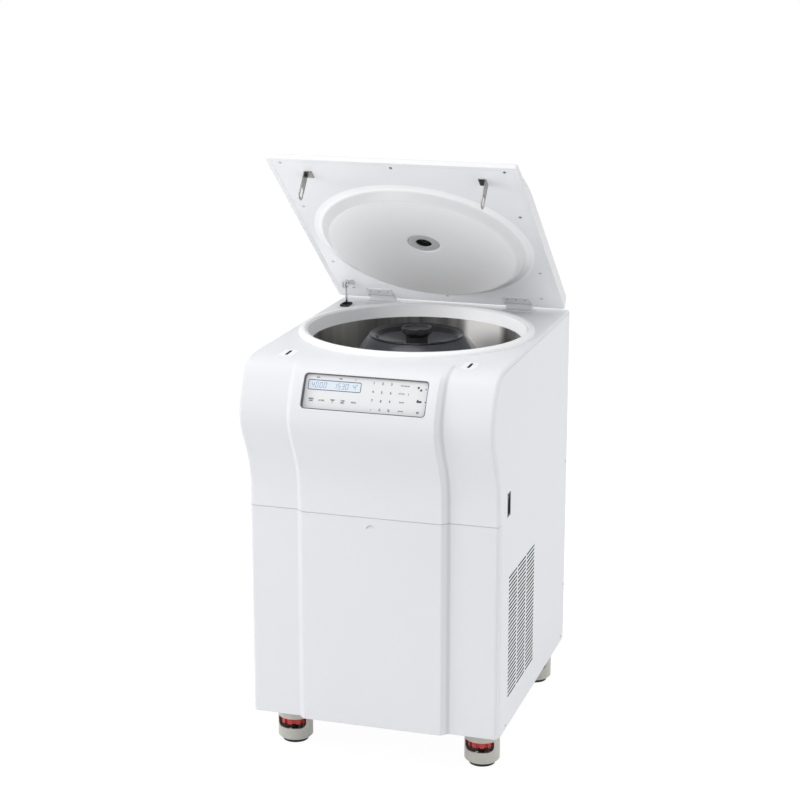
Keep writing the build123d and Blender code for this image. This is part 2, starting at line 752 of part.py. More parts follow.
pocket_wide = hinge_length + 4
pocket_long = 21.5
pocket_high = 27.0
with BuildPart() as lid_shell:
    with BuildSketch(lid_side(-lid_width / 2)) as shell_side:
        with BuildLine():
            p = lid_profile(0)
            Polyline(p[2], p[1], p[0], p[5], p[4], p[3])
            Spline(p[3], ((p[2][0] + p[3][0]) / 2, p[2][1] - 6.5), p[2], tangents=[(1, 0.05), (1, 0)])
        make_face()
        fillet(shell_side.vertices().sort_by_distance(p[1])[0], 12)
        fillet(shell_side.vertices().sort_by_distance(p[4])[0], 5)
    extrude(amount=lid_width)
    upright_edges = lid_shell.edges().filter_by(
        lambda e: abs(abs(e.center().X) - lid_width / 2) < 0.01 and abs(e.tangent_at(0.5).dot(lid_frame.z_dir)) > 0.98
    )
    fillet(upright_edges, 6)
    with BuildSketch(lid_level(-1)):
        with Locations((0, station(lid_length / 2))):
            RectangleRounded(lid_width - 2 * lid_margin, lid_length - 2 * lid_margin, 6)
    extrude(amount=1 + 9, mode=Mode.SUBTRACT)
    with BuildSketch(lid_level(0)):
        with Locations((0, station(lid_length * 0.37))):
            Rectangle(lid_width - 2 * lid_margin - 8, lid_length * 0.74 - 2 * lid_margin)
    extrude(amount=lid_thick - 4, mode=Mode.SUBTRACT)
    with BuildSketch(lid_level(-1)):
        with Locations((-hinge_x, lid_foot - pocket_long / 2), (hinge_x, lid_foot - pocket_long / 2)):
            Rectangle(pocket_wide, pocket_long + 2)
    extrude(amount=pocket_high + 1, mode=Mode.SUBTRACT)
lid_shell.part.label = "lid_shell"
export_step(lid_shell.part, "parts/lid_shell.step")

with BuildPart() as lid_inner_panel:
    with BuildSketch(lid_level(0)):
        with Locations((0, station(lid_length / 2))):
            RectangleRounded(lid_width - 2 * lid_margin - piece_gap, lid_length - 2 * lid_margin - piece_gap, 6)
        with Locations((0, chamber_y - hinge_y)):
            Circle(plug_root - 4, mode=Mode.SUBTRACT)
        with Locations((-hinge_x, lid_foot - pocket_long / 2), (hinge_x, lid_foot - pocket_long / 2)):
            Rectangle(pocket_wide, pocket_long + 2, mode=Mode.SUBTRACT)
    extrude(amount=panel_thick)
lid_inner_panel.part.label = "lid_inner_panel"
export_step(lid_inner_panel.part, "parts/lid_inner_panel.step")


def lid_turned(points, rounds=()):
    """Solid of revolution about the lid plug's axis from (radius, height above the underside) points."""
    centre = lid_frame.from_local_coords((0, chamber_y - hinge_y, -plate_drop))
    with BuildPart() as body:
        with BuildSketch(Plane(origin=centre, x_dir=(1, 0, 0), z_dir=-lid_frame.y_dir)) as profile:
            with BuildLine():
                Polyline(*points, close=True)
            make_face()
            for radius, where in rounds:
                fillet(profile.vertices().sort_by_distance(where)[0], radius)
        revolve(axis=Axis(centre, lid_frame.z_dir))
    return body.part


port_edge_drop = plug_drop * port_radius / plug_radius
with BuildPart() as lid_plug:
    add(lid_turned([
        (port_radius + piece_gap / 2, 0), (port_radius + piece_gap / 2, panel_thick),
        (plug_root - 4 - piece_gap, panel_thick), (plug_root - 4 - piece_gap, 0), (plug_root, 0),
        (plug_radius + 6, -plug_drop), (plug_radius - 4, -plug_drop), (port_radius + 10, -port_edge_drop),
    ], [(5, (plug_radius + 6, -plug_drop)), (3, (plug_radius - 4, -plug_drop))]))
lid_plug.part.label = "lid_plug"
export_step(lid_plug.part, "parts/lid_plug.step")

with BuildPart() as port_ring:
    add(lid_turned([
        (port_hole, -2), (port_radius - 6, -2), (port_radius, -0.5), (port_radius, 5), (port_hole + 3, 5),
        (port_hole + 3, 6), (0, 6), (0, 3), (port_hole, 3),
    ]))
port_ring.part.label = "port_ring"
export_step(port_ring.part, "parts/port_ring.step")

screw_radius = 4.0
screw_proud = 0.7
screw_column = lid_width / 2 - 31.0
plug_station = lid_foot + hinge_y - chamber_y
lid_screw_spots = [
    (screw_column, lid_length - 16), (0, lid_length - 18), (screw_column, lid_length - 209), (screw_column, 178),
    (screw_column - 19, 48), (0, plug_station - plug_root - 21.7),
]
with BuildPart() as lid_screws:
    for side in (-1, 1):
        for x, along in lid_screw_spots:
            if x or side > 0:
                with BuildSketch(lid_level(0)):
                    with Locations((side * x, station(along))):
                        Circle(screw_radius)
                extrude(amount=-screw_proud, taper=30)
lid_screws.part.label = "lid_screws"
export_step(lid_screws.part, "parts/lid_screws.step")

catch_top = 36.0
catch_bottom = 60.0
catch_wide = 15.0
stud_station = 78.0
stud_drop = 11.0
stud_radius = 2.8
stud_head = 6.6
with BuildPart() as lid_fittings:
    for side in (-1, 1):
        with BuildSketch(lid_side(side * striker_x - striker_thick / 2)):
            with BuildLine():
                centre = station(striker_station)
                half = striker_width / 2
                tip = -plate_drop - striker_hang
                Polyline(
                    (centre - half, -plate_drop), (centre + half, -plate_drop), (centre + half, tip + 8),
                    (centre + half - 7, tip), (centre - half + 7, tip), (centre - half, tip + 8), close=True,
                )
            make_face()
            with Locations((centre, -plate_drop - (catch_top + catch_bottom) / 2)):
                Rectangle(catch_wide, catch_bottom - catch_top, mode=Mode.SUBTRACT)
        extrude(amount=striker_thick)
        with BuildSketch(lid_level(-striker_thick)):
            with Locations((side * (striker_x - 8), station(striker_station))):
                Rectangle(18, striker_width)
        extrude(amount=striker_thick)
    with BuildSketch(lid_level(-3)):
        with Locations((strut_x + 12, station(stud_station))):
            RectangleRounded(18, 26, 3)
    extrude(amount=3)
    with BuildSketch(lid_side(strut_x + 3.8)):
        with Locations((station(stud_station), -plate_drop - stud_drop / 2 - 2)):
            Rectangle(10, stud_drop + 4)
    extrude(amount=3)
    with BuildSketch(lid_side(strut_x + 4.4)):
        with Locations((station(stud_station), -plate_drop - stud_drop)):
            Circle(stud_radius)
    extrude(amount=-9)
    with BuildSketch(lid_side(strut_x - 3.8)):
        with Locations((station(stud_station), -plate_drop - stud_drop)):
            Circle(stud_head)
    extrude(amount=-1.6)
lid_fittings.part.label = "lid_fittings"
export_step(lid_fittings.part, "parts/lid_fittings.step")

# ================================================================ lid hinges
ear_wide = 18.0
ear_gap = 1.0
leaf_thick = 2.5
with BuildPart() as hinge_leaves:
    for side in (-1, 1):
        x = side * hinge_x
        middle = hinge_length - 2 * (ear_wide + ear_gap)
        with BuildSketch(lid_level(-leaf_thick)):
            with Locations((x, station(34))):
                RectangleRounded(hinge_length, 28, 3)
        extrude(amount=leaf_thick)
        with BuildSketch(lid_side(x - middle / 2)):
            Circle(knuckle_radius)
            with Locations((-6.7, 0)):
                Rectangle(13.4, 8)
            with Locations((-11.7, -plate_drop / 2 + 1)):
                Rectangle(3.4, plate_drop + leaf_thick + 3)
            Circle(pin_radius + running_gap, mode=Mode.SUBTRACT)
        extrude(amount=middle)
        with BuildSketch(lid_level(-leaf_thick)):
            with Locations((x, station(21))):
                Rectangle(middle, 4)
        extrude(amount=leaf_thick)
hinge_leaves.part.label = "hinge_leaves"
export_step(hinge_leaves.part, "parts/hinge_leaves.step")

foot_thick = 3.0
web_gap = 1.5
with BuildPart() as hinge_brackets:
    for side in (-1, 1):
        x = side * hinge_x
        with BuildSketch(Plane.XY.offset(deck_z)):
            with Locations((x, hinge_y)):
                RectangleRounded(hinge_length + 16, 34, 4)
        extrude(amount=foot_thick)
        for ear in (-1, 1):
            with BuildSketch(Plane.YZ.offset(x + ear * (hinge_length - ear_wide) / 2)):
                with Locations((hinge_y, hinge_z)):
                    Circle(knuckle_radius)
                with Locations((hinge_y, (hinge_z + deck_z + 1) / 2)):
                    Rectangle(2 * knuckle_radius, hinge_z - deck_z - 1)
            extrude(amount=ear_wide / 2, both=True)
        with BuildSketch(Plane.XY.offset(deck_z + 1)):
            with Locations((x, hinge_y)):
                Rectangle(hinge_length - ear_wide, 2 * knuckle_radius)
        extrude(amount=hinge_z - knuckle_radius - web_gap - deck_z - 1)
        with BuildSketch(Plane.YZ.offset(x - hinge_length / 2)):
            with Locations((hinge_y, hinge_z)):
                Circle(pin_radius)
        extrude(amount=hinge_length)
hinge_brackets.part.label = "hinge_brackets"
export_step(hinge_brackets.part, "parts/hinge_brackets.step")

# ================================================================ gas strut
strut_foot_y = hinge_y - 35.0
strut_foot_z = hinge_z - 132.0
strut_pin = 4.0
strut_body_radius = 9.0
strut_rod_radius = 3.5
strut_slack = 2.3          # the rod's eye has this play round the lid stud
strut_body_start = 14.0
strut_body_length = 80.0
strut_stroke_room = 56.0   # from the start of the body to the rod's inner end, lid open
stud_point = lid_frame.from_local_coords((strut_x, station(stud_station), -plate_drop - stud_drop))
foot_point = Vector(strut_x, strut_foot_y, strut_foot_z)
strut_length = (stud_point - foot_point).length
strut_line = (stud_point - foot_point).normalized()
strut_across = Plane(origin=foot_point, x_dir=(1, 0, 0), z_dir=strut_line)


def strut_eye(centre, hole, rim, thick):
    """An eye across the strut, open along X."""
    with BuildPart() as eye:
        with BuildSketch(Plane(origin=centre - Vector(thick / 2, 0, 0), x_dir=(0, 1, 0), z_dir=(1, 0, 0))):
            Circle(rim)
            Circle(hole, mode=Mode.SUBTRACT)
        extrude(amount=thick)
    return eye.part


with BuildPart() as strut_cylinder:
    with BuildSketch(strut_across.offset(strut_body_start)):
        Circle(strut_body_radius)
    extrude(amount=strut_body_length)
    with BuildSketch(strut_across.offset(6)):
        Circle(3.5)
    extrude(amount=12)
    with BuildSketch(strut_across.offset(strut_body_start + 6)):
        Circle(strut_rod_radius + running_gap)
    extrude(amount=strut_body_length, mode=Mode.SUBTRACT)
    add(strut_eye(foot_point, strut_pin + running_gap, 8, 6))
strut_cylinder.part.label = "strut_cylinder"
export_step(strut_cylinder.part, "parts/strut_cylinder.step")

eye_hole = stud_radius + strut_slack
eye_rim = eye_hole + 2.7
with BuildPart() as strut_rod:
    with BuildSketch(strut_across.offset(strut_length - eye_hole - 1)):
        Circle(strut_rod_radius)
    extrude(amount=-(strut_length - eye_hole - 1 - strut_body_start - strut_stroke_room))
    add(strut_eye(stud_point, eye_hole, eye_rim, 5))
strut_rod.part.label = "strut_rod"
export_step(strut_rod.part, "parts/strut_rod.step")

with BuildPart() as strut_anchor:
    with BuildSketch(Plane.YZ.offset(strut_x - 10)):
        with Locations((strut_foot_y + 2, strut_foot_z - 3)):
            Rectangle(24, 30)
    extrude(amount=-3)
    with BuildSketch(Plane.XY.offset(strut_foot_z - 18)):
        with Locations(((strut_x - 10 - side_inner) / 2, strut_foot_y + 2)):
            Rectangle(side_inner + strut_x - 10, 24)
    extrude(amount=3)
    with BuildSketch(Plane.YZ.offset(strut_x - 11)):
        with Locations((strut_foot_y, strut_foot_z)):
            Circle(strut_pin)
    extrude(amount=17)
strut_anchor.part.label = "strut_anchor"
export_step(strut_anchor.part, "parts/strut_anchor.step")

grommet_wall = 1.5
grommet_flange = 2.0
grommet_high = 5.0
grommet_hole_wide = grommet_wide - 2 * grommet_wall
grommet_hole_long = grommet_long - 2 * grommet_wall
with BuildPart() as strut_grommet:
    with BuildSketch(Plane.XY.offset(deck_z)):
        with Locations((grommet_x, grommet_y)):
            RectangleRounded(grommet_wide + 2 * grommet_flange, grommet_long + 2 * grommet_flange, 5)
            RectangleRounded(grommet_hole_wide, grommet_hole_long, 4, mode=Mode.SUBTRACT)
    extrude(amount=grommet_high)
    fillet(strut_grommet.edges().group_by(Axis.Z)[-1], 1)
    with BuildSketch(Plane.XY.offset(deck_z)):
        with Locations((grommet_x, grommet_y)):
            RectangleRounded(grommet_wide - piece_gap, grommet_long - piece_gap, grommet_round)
            RectangleRounded(grommet_hole_wide, grommet_hole_long, 4, mode=Mode.SUBTRACT)
    extrude(amount=-6)
strut_grommet.part.label = "strut_grommet"
export_step(strut_grommet.part, "parts/strut_grommet.step")


# ================================================================ main switch
rocker_wide = 17.0
rocker_tall = 42.0
rocker_round = 70.0
rocker_axle_x = half_width - 6
with BuildPart() as switch_bezel:
    with BuildSketch(Plane.YZ.offset(half_width)):
        with Locations((switch_y, switch_z)):
            RectangleRounded(switch_wide + 4, switch_tall + 4, 3)
    extrude(amount=-1.4)
    with BuildSketch(Plane.YZ.offset(half_width)):
        with Locations((switch_y, switch_z)):
            Rectangle(switch_wide - piece_gap, switch_tall - piece_gap)
    extrude(amount=-24)
    with BuildSketch(Plane.YZ.offset(half_width + 1)):
        with Locations((switch_y, switch_z)):
            Rectangle(rocker_wide + 1, rocker_tall + 4)
    extrude(amount=-22, mode=Mode.SUBTRACT)
    with BuildSketch(Plane.XZ.offset(-(switch_y + rocker_wide / 2 + 1))):
        with Locations((rocker_axle_x, switch_z)):
            Circle(2)
    extrude(amount=rocker_wide + 2)
switch_bezel.part.label = "switch_bezel"
export_step(switch_bezel.part, "parts/switch_bezel.step")

rocker_plane = Plane.XZ.offset(-(switch_y + rocker_wide / 2))
with BuildPart() as switch_rocker:
    with BuildSketch(rocker_plane) as rocker_side:
        with BuildLine():
            top = (half_width - 0.5, switch_z + rocker_tall / 2 - 1)
            low = (half_width - 5.5, switch_z - rocker_tall / 2 + 1)
            ThreePointArc(top, (half_width - 3.8, switch_z), low)
            Polyline(low, (half_width - 14, switch_z - 8), (half_width - 14, switch_z + 8), top)
        make_face()
        with Locations((rocker_axle_x, switch_z)):
            Circle(2 + running_gap, mode=Mode.SUBTRACT)
    extrude(amount=rocker_wide)
switch_rocker.part.label = "switch_rocker"
export_step(switch_rocker.part, "parts/switch_rocker.step")

# ================================================================ refrigeration set
compressor_x = 170.0 - half_width
compressor_y = rear_y - 225.5
compressor_radius = 92.0
compressor_top_z = 360.0
compressor_foot_z = 124.0
pan_floor_z = pan_z + pan_wall
with BuildPart() as compressor:
    with BuildSketch(Plane.XY.offset(pan_floor_z)):
        with Locations((compressor_x, compressor_y)):
            with GridLocations(150, 150, 2, 2):
                Circle(13)
    extrude(amount=compressor_foot_z - pan_floor_z)
    with BuildSketch(Plane.XY.offset(compressor_foot_z)):
        with Locations((compressor_x, compressor_y)):
            RectangleRounded(190, 190, 20)
            Circle(60, mode=Mode.SUBTRACT)
    extrude(amount=4)
    with BuildSketch(Plane.XY.offset(compressor_foot_z + 4)):
        with Locations((compressor_x, compressor_y)):
            Circle(compressor_radius)
    extrude(amount=compressor_top_z - compressor_foot_z - 4)
    fillet(compressor.edges().filter_by(GeomType.CIRCLE).sort_by(Axis.Z)[-1], 45)
    with BuildSketch(Plane.XY.offset(compressor_foot_z + 4)):
        with Locations((compressor_x, compressor_y)):
            Circle(compressor_radius - 5)
    extrude(amount=compressor_top_z - compressor_foot_z - 4 - 45, mode=Mode.SUBTRACT)
compressor.part.label = "compressor"
export_step(compressor.part, "parts/compressor.step")

condenser_x = half_width - 30.0
condenser_thick = 36.0
condenser_long = 270.0
condenser_tall = 310.0
condenser_z = vent_z
fin_pitch = 15.5
shroud_thick = 30.0
fan_radius = 100.0
with BuildPart() as condenser:
    base_tall = condenser_z - condenser_tall / 2 - pan_floor_z
    with BuildSketch(Plane.YZ.offset(condenser_x - condenser_thick / 2)):
        with Locations((vent_y, condenser_z)):
            Rectangle(condenser_long, condenser_tall)
        with Locations((vent_y, pan_floor_z + base_tall / 2 + 0.5)):
            Rectangle(condenser_long, base_tall + 1)
    extrude(amount=condenser_thick)
    with BuildSketch(Plane.YZ.offset(condenser_x + condenser_thick / 2)):
        with Locations((vent_y, condenser_z)):
            with GridLocations(condenser_long, fin_pitch, 1, int(condenser_tall // fin_pitch)):
                Rectangle(condenser_long - 24, fin_pitch - 3)
    extrude(amount=-10, mode=Mode.SUBTRACT)
    shroud_x = condenser_x - condenser_thick / 2 - shroud_thick
    with BuildSketch(Plane.YZ.offset(shroud_x)):
        with Locations((vent_y, condenser_z)):
            Rectangle(condenser_long, condenser_tall)
            Circle(fan_radius + 5, mode=Mode.SUBTRACT)
    extrude(amount=shroud_thick)
    with BuildSketch(Plane.YZ.offset(shroud_x - 4)):
        with Locations((vent_y, condenser_z)):
            Rectangle(2 * fan_radius + 20, 16)
            Circle(30)
            Circle(6 + running_gap, mode=Mode.SUBTRACT)
    extrude(amount=4)
condenser.part.label = "condenser"
export_step(condenser.part, "parts/condenser.step")

blade_count = 5
with BuildPart() as fan_rotor:
    with BuildSketch(Plane.YZ.offset(shroud_x + 2)):
        with Locations((vent_y, condenser_z)):
            Circle(28)
    extrude(amount=shroud_thick - 6)
    with BuildSketch(Plane.YZ.offset(shroud_x - 8)):
        with Locations((vent_y, condenser_z)):
            Circle(6)
    extrude(amount=12)
    for index in range(blade_count):
        turn = math.radians(360 / blade_count * index)
        out = Vector(0, math.cos(turn), math.sin(turn))
        across = Vector(0, -math.sin(turn), math.cos(turn))
        pitch = (across * math.cos(0.35) + Vector(1, 0, 0) * math.sin(0.35)).normalized()
        start = Vector(shroud_x + shroud_thick / 2, vent_y, condenser_z) + out * 24
        with BuildSketch(Plane(origin=start, x_dir=pitch, z_dir=out)):
            Rectangle(48, 2.2)
        extrude(amount=fan_radius - 26)
fan_rotor.part.label = "fan_rotor"
export_step(fan_rotor.part, "parts/fan_rotor.step")

# ================================================================ levelling casters
top_plate = 5.0
kingpin_radius = 9.0
kingpin_long = 9.0
housing_top_z = pan_z - top_plate - 1.0
housing_crown = 7.0
skirt_z = 9.0
skirt_round = 4.0
screw_y = -9.0
dial_radius = 31.0
dial_z = 49.0
dial_thick = 12.6
dial_teeth = 10
notch_wide = 9.0
notch_deep = 5.0
stem_radius = 7.0
pad_thick = 10.0
pad_slot = 15.5
axle_y = 22.0
fork_inner = 10.0
fork_thick = 4.0
fork_front = 13.5
fork_low = 18.0
fork_high = 48.0
dial_window_low = 38.0
dial_window_high = 62.0
dial_window_half = 34.0
dial_window_round = 11.0
caster_spots = {
    "front_left": (-caster_x, caster_front_y),
    "front_right": (caster_x, caster_front_y),
    "rear_left": (-caster_x, caster_rear_y),
    "rear_right": (caster_x, caster_rear_y),
}

with BuildPart() as caster_plates:
    with BuildSketch(Plane.XY.offset(pan_z - top_plate)):
        with Locations(*caster_spots.values()):
            RectangleRounded(82, 82, 8)
    extrude(amount=top_plate)
    with BuildSketch(Plane.XY.offset(pan_z - top_plate)):
        with Locations(*caster_spots.values()):
            Circle(kingpin_radius)
    extrude(amount=-kingpin_long)
caster_plates.part.label = "caster_plates"
export_step(caster_plates.part, "parts/caster_plates.step")


def caster_turned(x, y, points):
    """Solid of revolution about a caster's swivel axis."""
    with BuildPart() as body:
        with BuildSketch(Plane(origin=(x, y, 0), x_dir=(1, 0, 0), z_dir=(0, -1, 0))):
            with BuildLine():
                Polyline(*points, close=True)
            make_face()
        revolve(axis=Axis((x, y, 0), (0, 0, 1)))
    return body.part


def caster_housing(x, y):
    """Cup-shaped housing with its fork, a window on the dial and its axle."""
    inner = caster_radius - caster_wall
    skirt_radius = caster_radius - skirt_round
    fork_back = inner
    with BuildPart() as body:
        add(caster_turned(x, y, [
            (kingpin_radius + running_gap, housing_top_z), (caster_radius - 4, housing_top_z),
            (caster_radius, housing_top_z - 4), (caster_radius, skirt_z + skirt_round), (skirt_radius, skirt_z),
            (skirt_radius - caster_wall, skirt_z), (inner, skirt_z + skirt_round + 1),
            (inner, housing_top_z - housing_crown), (kingpin_radius + running_gap, housing_top_z - housing_crown),
        ]))
        for side in (-1, 1):
            middle = x + side * (fork_inner + fork_thick / 2)
            with Locations((middle, y + (fork_front + fork_back) / 2, (fork_low + fork_high) / 2)):
                Box(fork_thick, fork_back - fork_front, fork_high - fork_low)
        with Locations((x, y + caster_radius, (skirt_z + fork_high) / 2)):
            Box(2 * fork_inner, 24, fork_high - skirt_z + 2, mode=Mode.SUBTRACT)
        with BuildSketch(Plane(origin=(x, y - 15, 0), x_dir=(1, 0, 0), z_dir=(0, -1, 0))) as dial_window:
            with Locations((0, (dial_window_low + dial_window_high) / 2)):
                Rectangle(2 * dial_window_half, dial_window_high - dial_window_low)
            fillet(dial_window.vertices().group_by(Axis.Y)[0], dial_window_round)
        extrude(amount=caster_radius, mode=Mode.SUBTRACT)
        with BuildSketch(Plane.YZ.offset(x - fork_inner - fork_thick)):
            with Locations((y + axle_y, wheel_radius + wheel_lift)):
                Circle(3)
        extrude(amount=2 * (fork_inner + fork_thick))
    return body.part


def caster_wheel(x, y):
    """Nylon wheel between the fork plates."""
    with BuildPart() as body:
        with BuildSketch(Plane.YZ.offset(x - fork_inner + 0.6)):
            with Locations((y + axle_y, wheel_radius + wheel_lift)):
                Circle(wheel_radius)
                Circle(3 + running_gap, mode=Mode.SUBTRACT)
        extrude(amount=2 * fork_inner - 1.2)
        chamfer(body.edges().filter_by(GeomType.CIRCLE).filter_by(lambda e: e.radius > 10), 2)
    return body.part


def caster_dial(x, y):
    """Toothed thumb wheel, threaded on the pad's stem. Right wheels stand half a tooth on from left ones."""
    turn = 180 / dial_teeth if x > 0 else 0
    with BuildPart() as body:
        with BuildSketch(Plane.XY.offset(dial_z)):
            with Locations((x, y + screw_y)):
                Circle(dial_radius)
                with PolarLocations(dial_radius, dial_teeth, start_angle=turn):
                    Rectangle(2 * notch_deep, notch_wide, mode=Mode.SUBTRACT)
                Circle(stem_radius + running_gap, mode=Mode.SUBTRACT)
        extrude(amount=dial_thick)
    return body.part


def caster_pad(x, y):
    """Rubber-faced foot with a slot that clears the wheel, on its threaded stem."""
    with BuildPart() as body:
        with BuildSketch(Plane.XY):
            with Locations((x, y)):
                Circle(pad_radius)
            with Locations((x, y + pad_radius - 1)):
                Rectangle(2 * pad_slot, 2 * pad_radius, mode=Mode.SUBTRACT)
        extrude(amount=pad_thick)
        with BuildSketch(Plane.XY.offset(pad_thick)):
            with Locations((x, y + screw_y)):
                Circle(stem_radius)
        extrude(amount=dial_z - pad_thick + dial_thick + 2)
    return body.part


for spot, (x, y) in caster_spots.items():
    for piece, make in (
        ("housing", caster_housing), ("wheel", caster_wheel), ("dial", caster_dial), ("pad", caster_pad),
    ):
        solid = make(x, y)
        name = "caster_" + piece + "_" + spot
        solid.label = name
        export_step(solid, "parts/" + name + ".step")
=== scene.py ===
# %% [markdown]
# # A refrigerated centrifuge on levelling casters
# The construction, with its sizes and joints, comes as a fixed frame of named solids. This lesson dresses
# it: each cell says what a piece or a finish is on the real machine, how it could be made and why it is
# made so. Everything is in metres, with +Z up, +X to the machine's right and +Y to its back.

# %% Load the frame
import json
import math

import bmesh
import bpy
from mathutils import Euler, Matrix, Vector
from mathutils.bvhtree import BVHTree


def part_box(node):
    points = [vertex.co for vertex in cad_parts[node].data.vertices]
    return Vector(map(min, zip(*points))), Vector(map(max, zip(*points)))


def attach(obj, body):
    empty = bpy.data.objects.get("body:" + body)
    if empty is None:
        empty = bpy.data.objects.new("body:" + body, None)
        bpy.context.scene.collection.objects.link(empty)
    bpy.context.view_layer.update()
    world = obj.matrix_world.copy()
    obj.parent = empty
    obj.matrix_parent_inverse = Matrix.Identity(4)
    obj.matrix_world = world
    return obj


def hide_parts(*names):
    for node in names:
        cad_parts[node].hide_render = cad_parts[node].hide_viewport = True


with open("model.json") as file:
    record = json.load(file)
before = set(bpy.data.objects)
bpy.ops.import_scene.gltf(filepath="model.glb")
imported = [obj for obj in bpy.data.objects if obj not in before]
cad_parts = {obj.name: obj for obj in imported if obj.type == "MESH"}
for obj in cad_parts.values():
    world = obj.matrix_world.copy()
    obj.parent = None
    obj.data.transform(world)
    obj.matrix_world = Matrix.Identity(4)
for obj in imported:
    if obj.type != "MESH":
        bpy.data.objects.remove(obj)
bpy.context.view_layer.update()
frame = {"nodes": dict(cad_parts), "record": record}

nodes = frame["nodes"]
mm = 0.001

# %% [markdown]
# ## Camera
# A long lens looks down a little from the machine's right. A long lens keeps the cabinet's sides nearly
# parallel, which is how such machines are shown; it stands about four and a half metres away.

# %% Camera
camera_place = (1.3109, -4.3451, 1.9876)
camera_yaw = 17.15
camera_pitch = 14.62
camera_lens = 90.56

camera_data = bpy.data.cameras.new("camera")
camera = bpy.data.objects.new("camera", camera_data)
bpy.context.collection.objects.link(camera)
camera.location = camera_place
camera.rotation_euler = Euler((math.radians(90 - camera_pitch), 0, math.radians(camera_yaw)))
camera_data.lens = camera_lens
camera_data.sensor_width = 36
camera_data.shift_x = 0.0011
camera_data.shift_y = -0.0025
bpy.context.scene.camera = camera
bpy.context.scene.view_settings.view_transform = "Standard"
print("camera at", camera_place, "with a lens of", camera_lens, "mm")

# %% [markdown]
# ## Shader maths as plain Python
# A node graph drawn by hand is hard to read back. Here a socket is wrapped in a small class whose plus,
# minus and times add the Math nodes, so that a pattern reads as the sum it is. Any other node comes from
# one method that takes the node's type, its settings and its inputs.


# %% A wrapped socket and a painter
class Wire:
    """One output socket of a material. Arithmetic on it adds Math nodes."""

    def __init__(self, paint, socket):
        self.paint = paint
        self.socket = socket

    def maths(self, operation, first, second=0.0):
        """The result of a Math node, as a new wire."""
        return self.paint.node("ShaderNodeMath", {"operation": operation}, {0: first, 1: second})

    def __add__(self, other):
        return self.maths("ADD", self, other)

    def __sub__(self, other):
        return self.maths("SUBTRACT", self, other)

    def __rsub__(self, other):
        return self.maths("SUBTRACT", other, self)

    def __mul__(self, other):
        return self.maths("MULTIPLY", self, other)

    def __gt__(self, other):
        return self.maths("GREATER_THAN", self, other)

    def __lt__(self, other):
        return self.maths("LESS_THAN", self, other)

    def __pow__(self, other):
        return self.maths("POWER", self, other)

    def __abs__(self):
        return self.maths("ABSOLUTE", self)

    __radd__ = __add__
    __rmul__ = __mul__

    def clamped(self):
        """The value held between 0 and 1."""
        return self.maths("MINIMUM", self.maths("MAXIMUM", self, 0.0), 1.0)

    def band(self, low, high):
        """0 below low, 1 above high and a smooth rise between."""
        return self.paint.node(
            "ShaderNodeMapRange", {"interpolation_type": "SMOOTHSTEP"}, {0: self, 1: low, 2: high}
        )


class Painter:
    """One material with a Principled shader and short ways to its patterns."""

    def __init__(self, name):
        self.material = bpy.data.materials.new(name)
        self.material.use_nodes = True
        self.tree = self.material.node_tree
        self.shader = self.tree.nodes["Principled BSDF"]

    def feed(self, socket, value):
        """Link a wire to a socket, or set the socket to a value."""
        if isinstance(value, Wire):
            self.tree.links.new(value.socket, socket)
        elif isinstance(value, tuple) and len(value) == 3 and socket.type == "RGBA":
            socket.default_value = (*value, 1)
        else:
            socket.default_value = value

    def node(self, kind, settings=None, inputs=None, output=0):
        """A new node with its settings set first and its inputs fed, as the wire of one output."""
        made = self.tree.nodes.new(kind)
        for key, value in (settings or {}).items():
            setattr(made, key, value)
        for key, value in (inputs or {}).items():
            self.feed(made.inputs[key], value)
        return Wire(self, made.outputs[output])

    def place(self):
        """The point on the piece, in metres."""
        return self.node("ShaderNodeTexCoord", output="Object")

    def axes(self):
        """The point's x, y and z as three wires."""
        split = self.tree.nodes.new("ShaderNodeSeparateXYZ")
        self.feed(split.inputs[0], self.place())
        return [Wire(self, split.outputs[i]) for i in range(3)]

    def stretched(self, scale):
        """The point on the piece, stretched by a scale along each axis."""
        return self.node("ShaderNodeMapping", inputs={"Vector": self.place(), "Scale": scale})

    def noise(self, size, detail=2.0, where=None):
        """Soft noise from 0 to 1 whose lumps are about size metres."""
        return self.node(
            "ShaderNodeTexNoise",
            inputs={"Vector": where or self.place(), "Scale": 1 / size, "Detail": detail},
        )

    def blend(self, amount, first, second):
        """A colour between two, by amount."""
        mix = self.tree.nodes.new("ShaderNodeMix")
        mix.data_type = "RGBA"
        self.feed(mix.inputs[0], amount)
        self.feed(mix.inputs[6], first)
        self.feed(mix.inputs[7], second)
        return Wire(self, mix.outputs[2])

    def bump(self, height, depth, edge=0.0006):
        """A normal from a height of 0 to 1 that stands depth metres tall, over edges rounded by edge."""
        soft = self.node("ShaderNodeBevel", {"samples": 4}, {"Radius": edge})
        return self.node("ShaderNodeBump", inputs={"Height": height, "Distance": depth, "Normal": soft})

    def within(self, value, middle, half, blur):
        """1 where value lies within half of middle, fading out over blur."""
        return 1.0 - abs(value - middle).band(half, half + blur)

    def angle_round(self, x, y):
        """The angle of a point about the Z axis, in degrees, from -180 to 180."""
        return self.node("ShaderNodeMath", {"operation": "ARCTAN2"}, {0: y, 1: x}) * math.degrees(1)

    def set(self, **values):
        """Feed the shader's own sockets, named in small letters with underscores."""
        for key, value in values.items():
            name = key.replace("_", " ").title().replace("Ior", "IOR")
            self.feed(self.shader.inputs[name], value)


# %% [markdown]
# ## Finishes
# The machine is nearly all white, so the whites have to differ as the real ones do. Powder coat on the steel
# sheets has a fine orange peel; the moulded covers have a spark-eroded grain, finer and more matt; the
# collar and the lid's plug are smooth and a little glossy. Some finishes also carry painted shade: in the
# slots of the right side panel, along an inner corner of the covers, and over the whole lower front panel.


# %% White and plastic finishes
peel_size, peel_depth = 0.0035, 0.00005
# Painted shade on the walls of the side panel's slots.
slot_wall_shade = (0.02, 0.02, 0.02)
front_of_cover = -0.26


def shade_of(colour, share):
    """A darker colour: a share of the one given."""
    return tuple(c * share for c in colour)


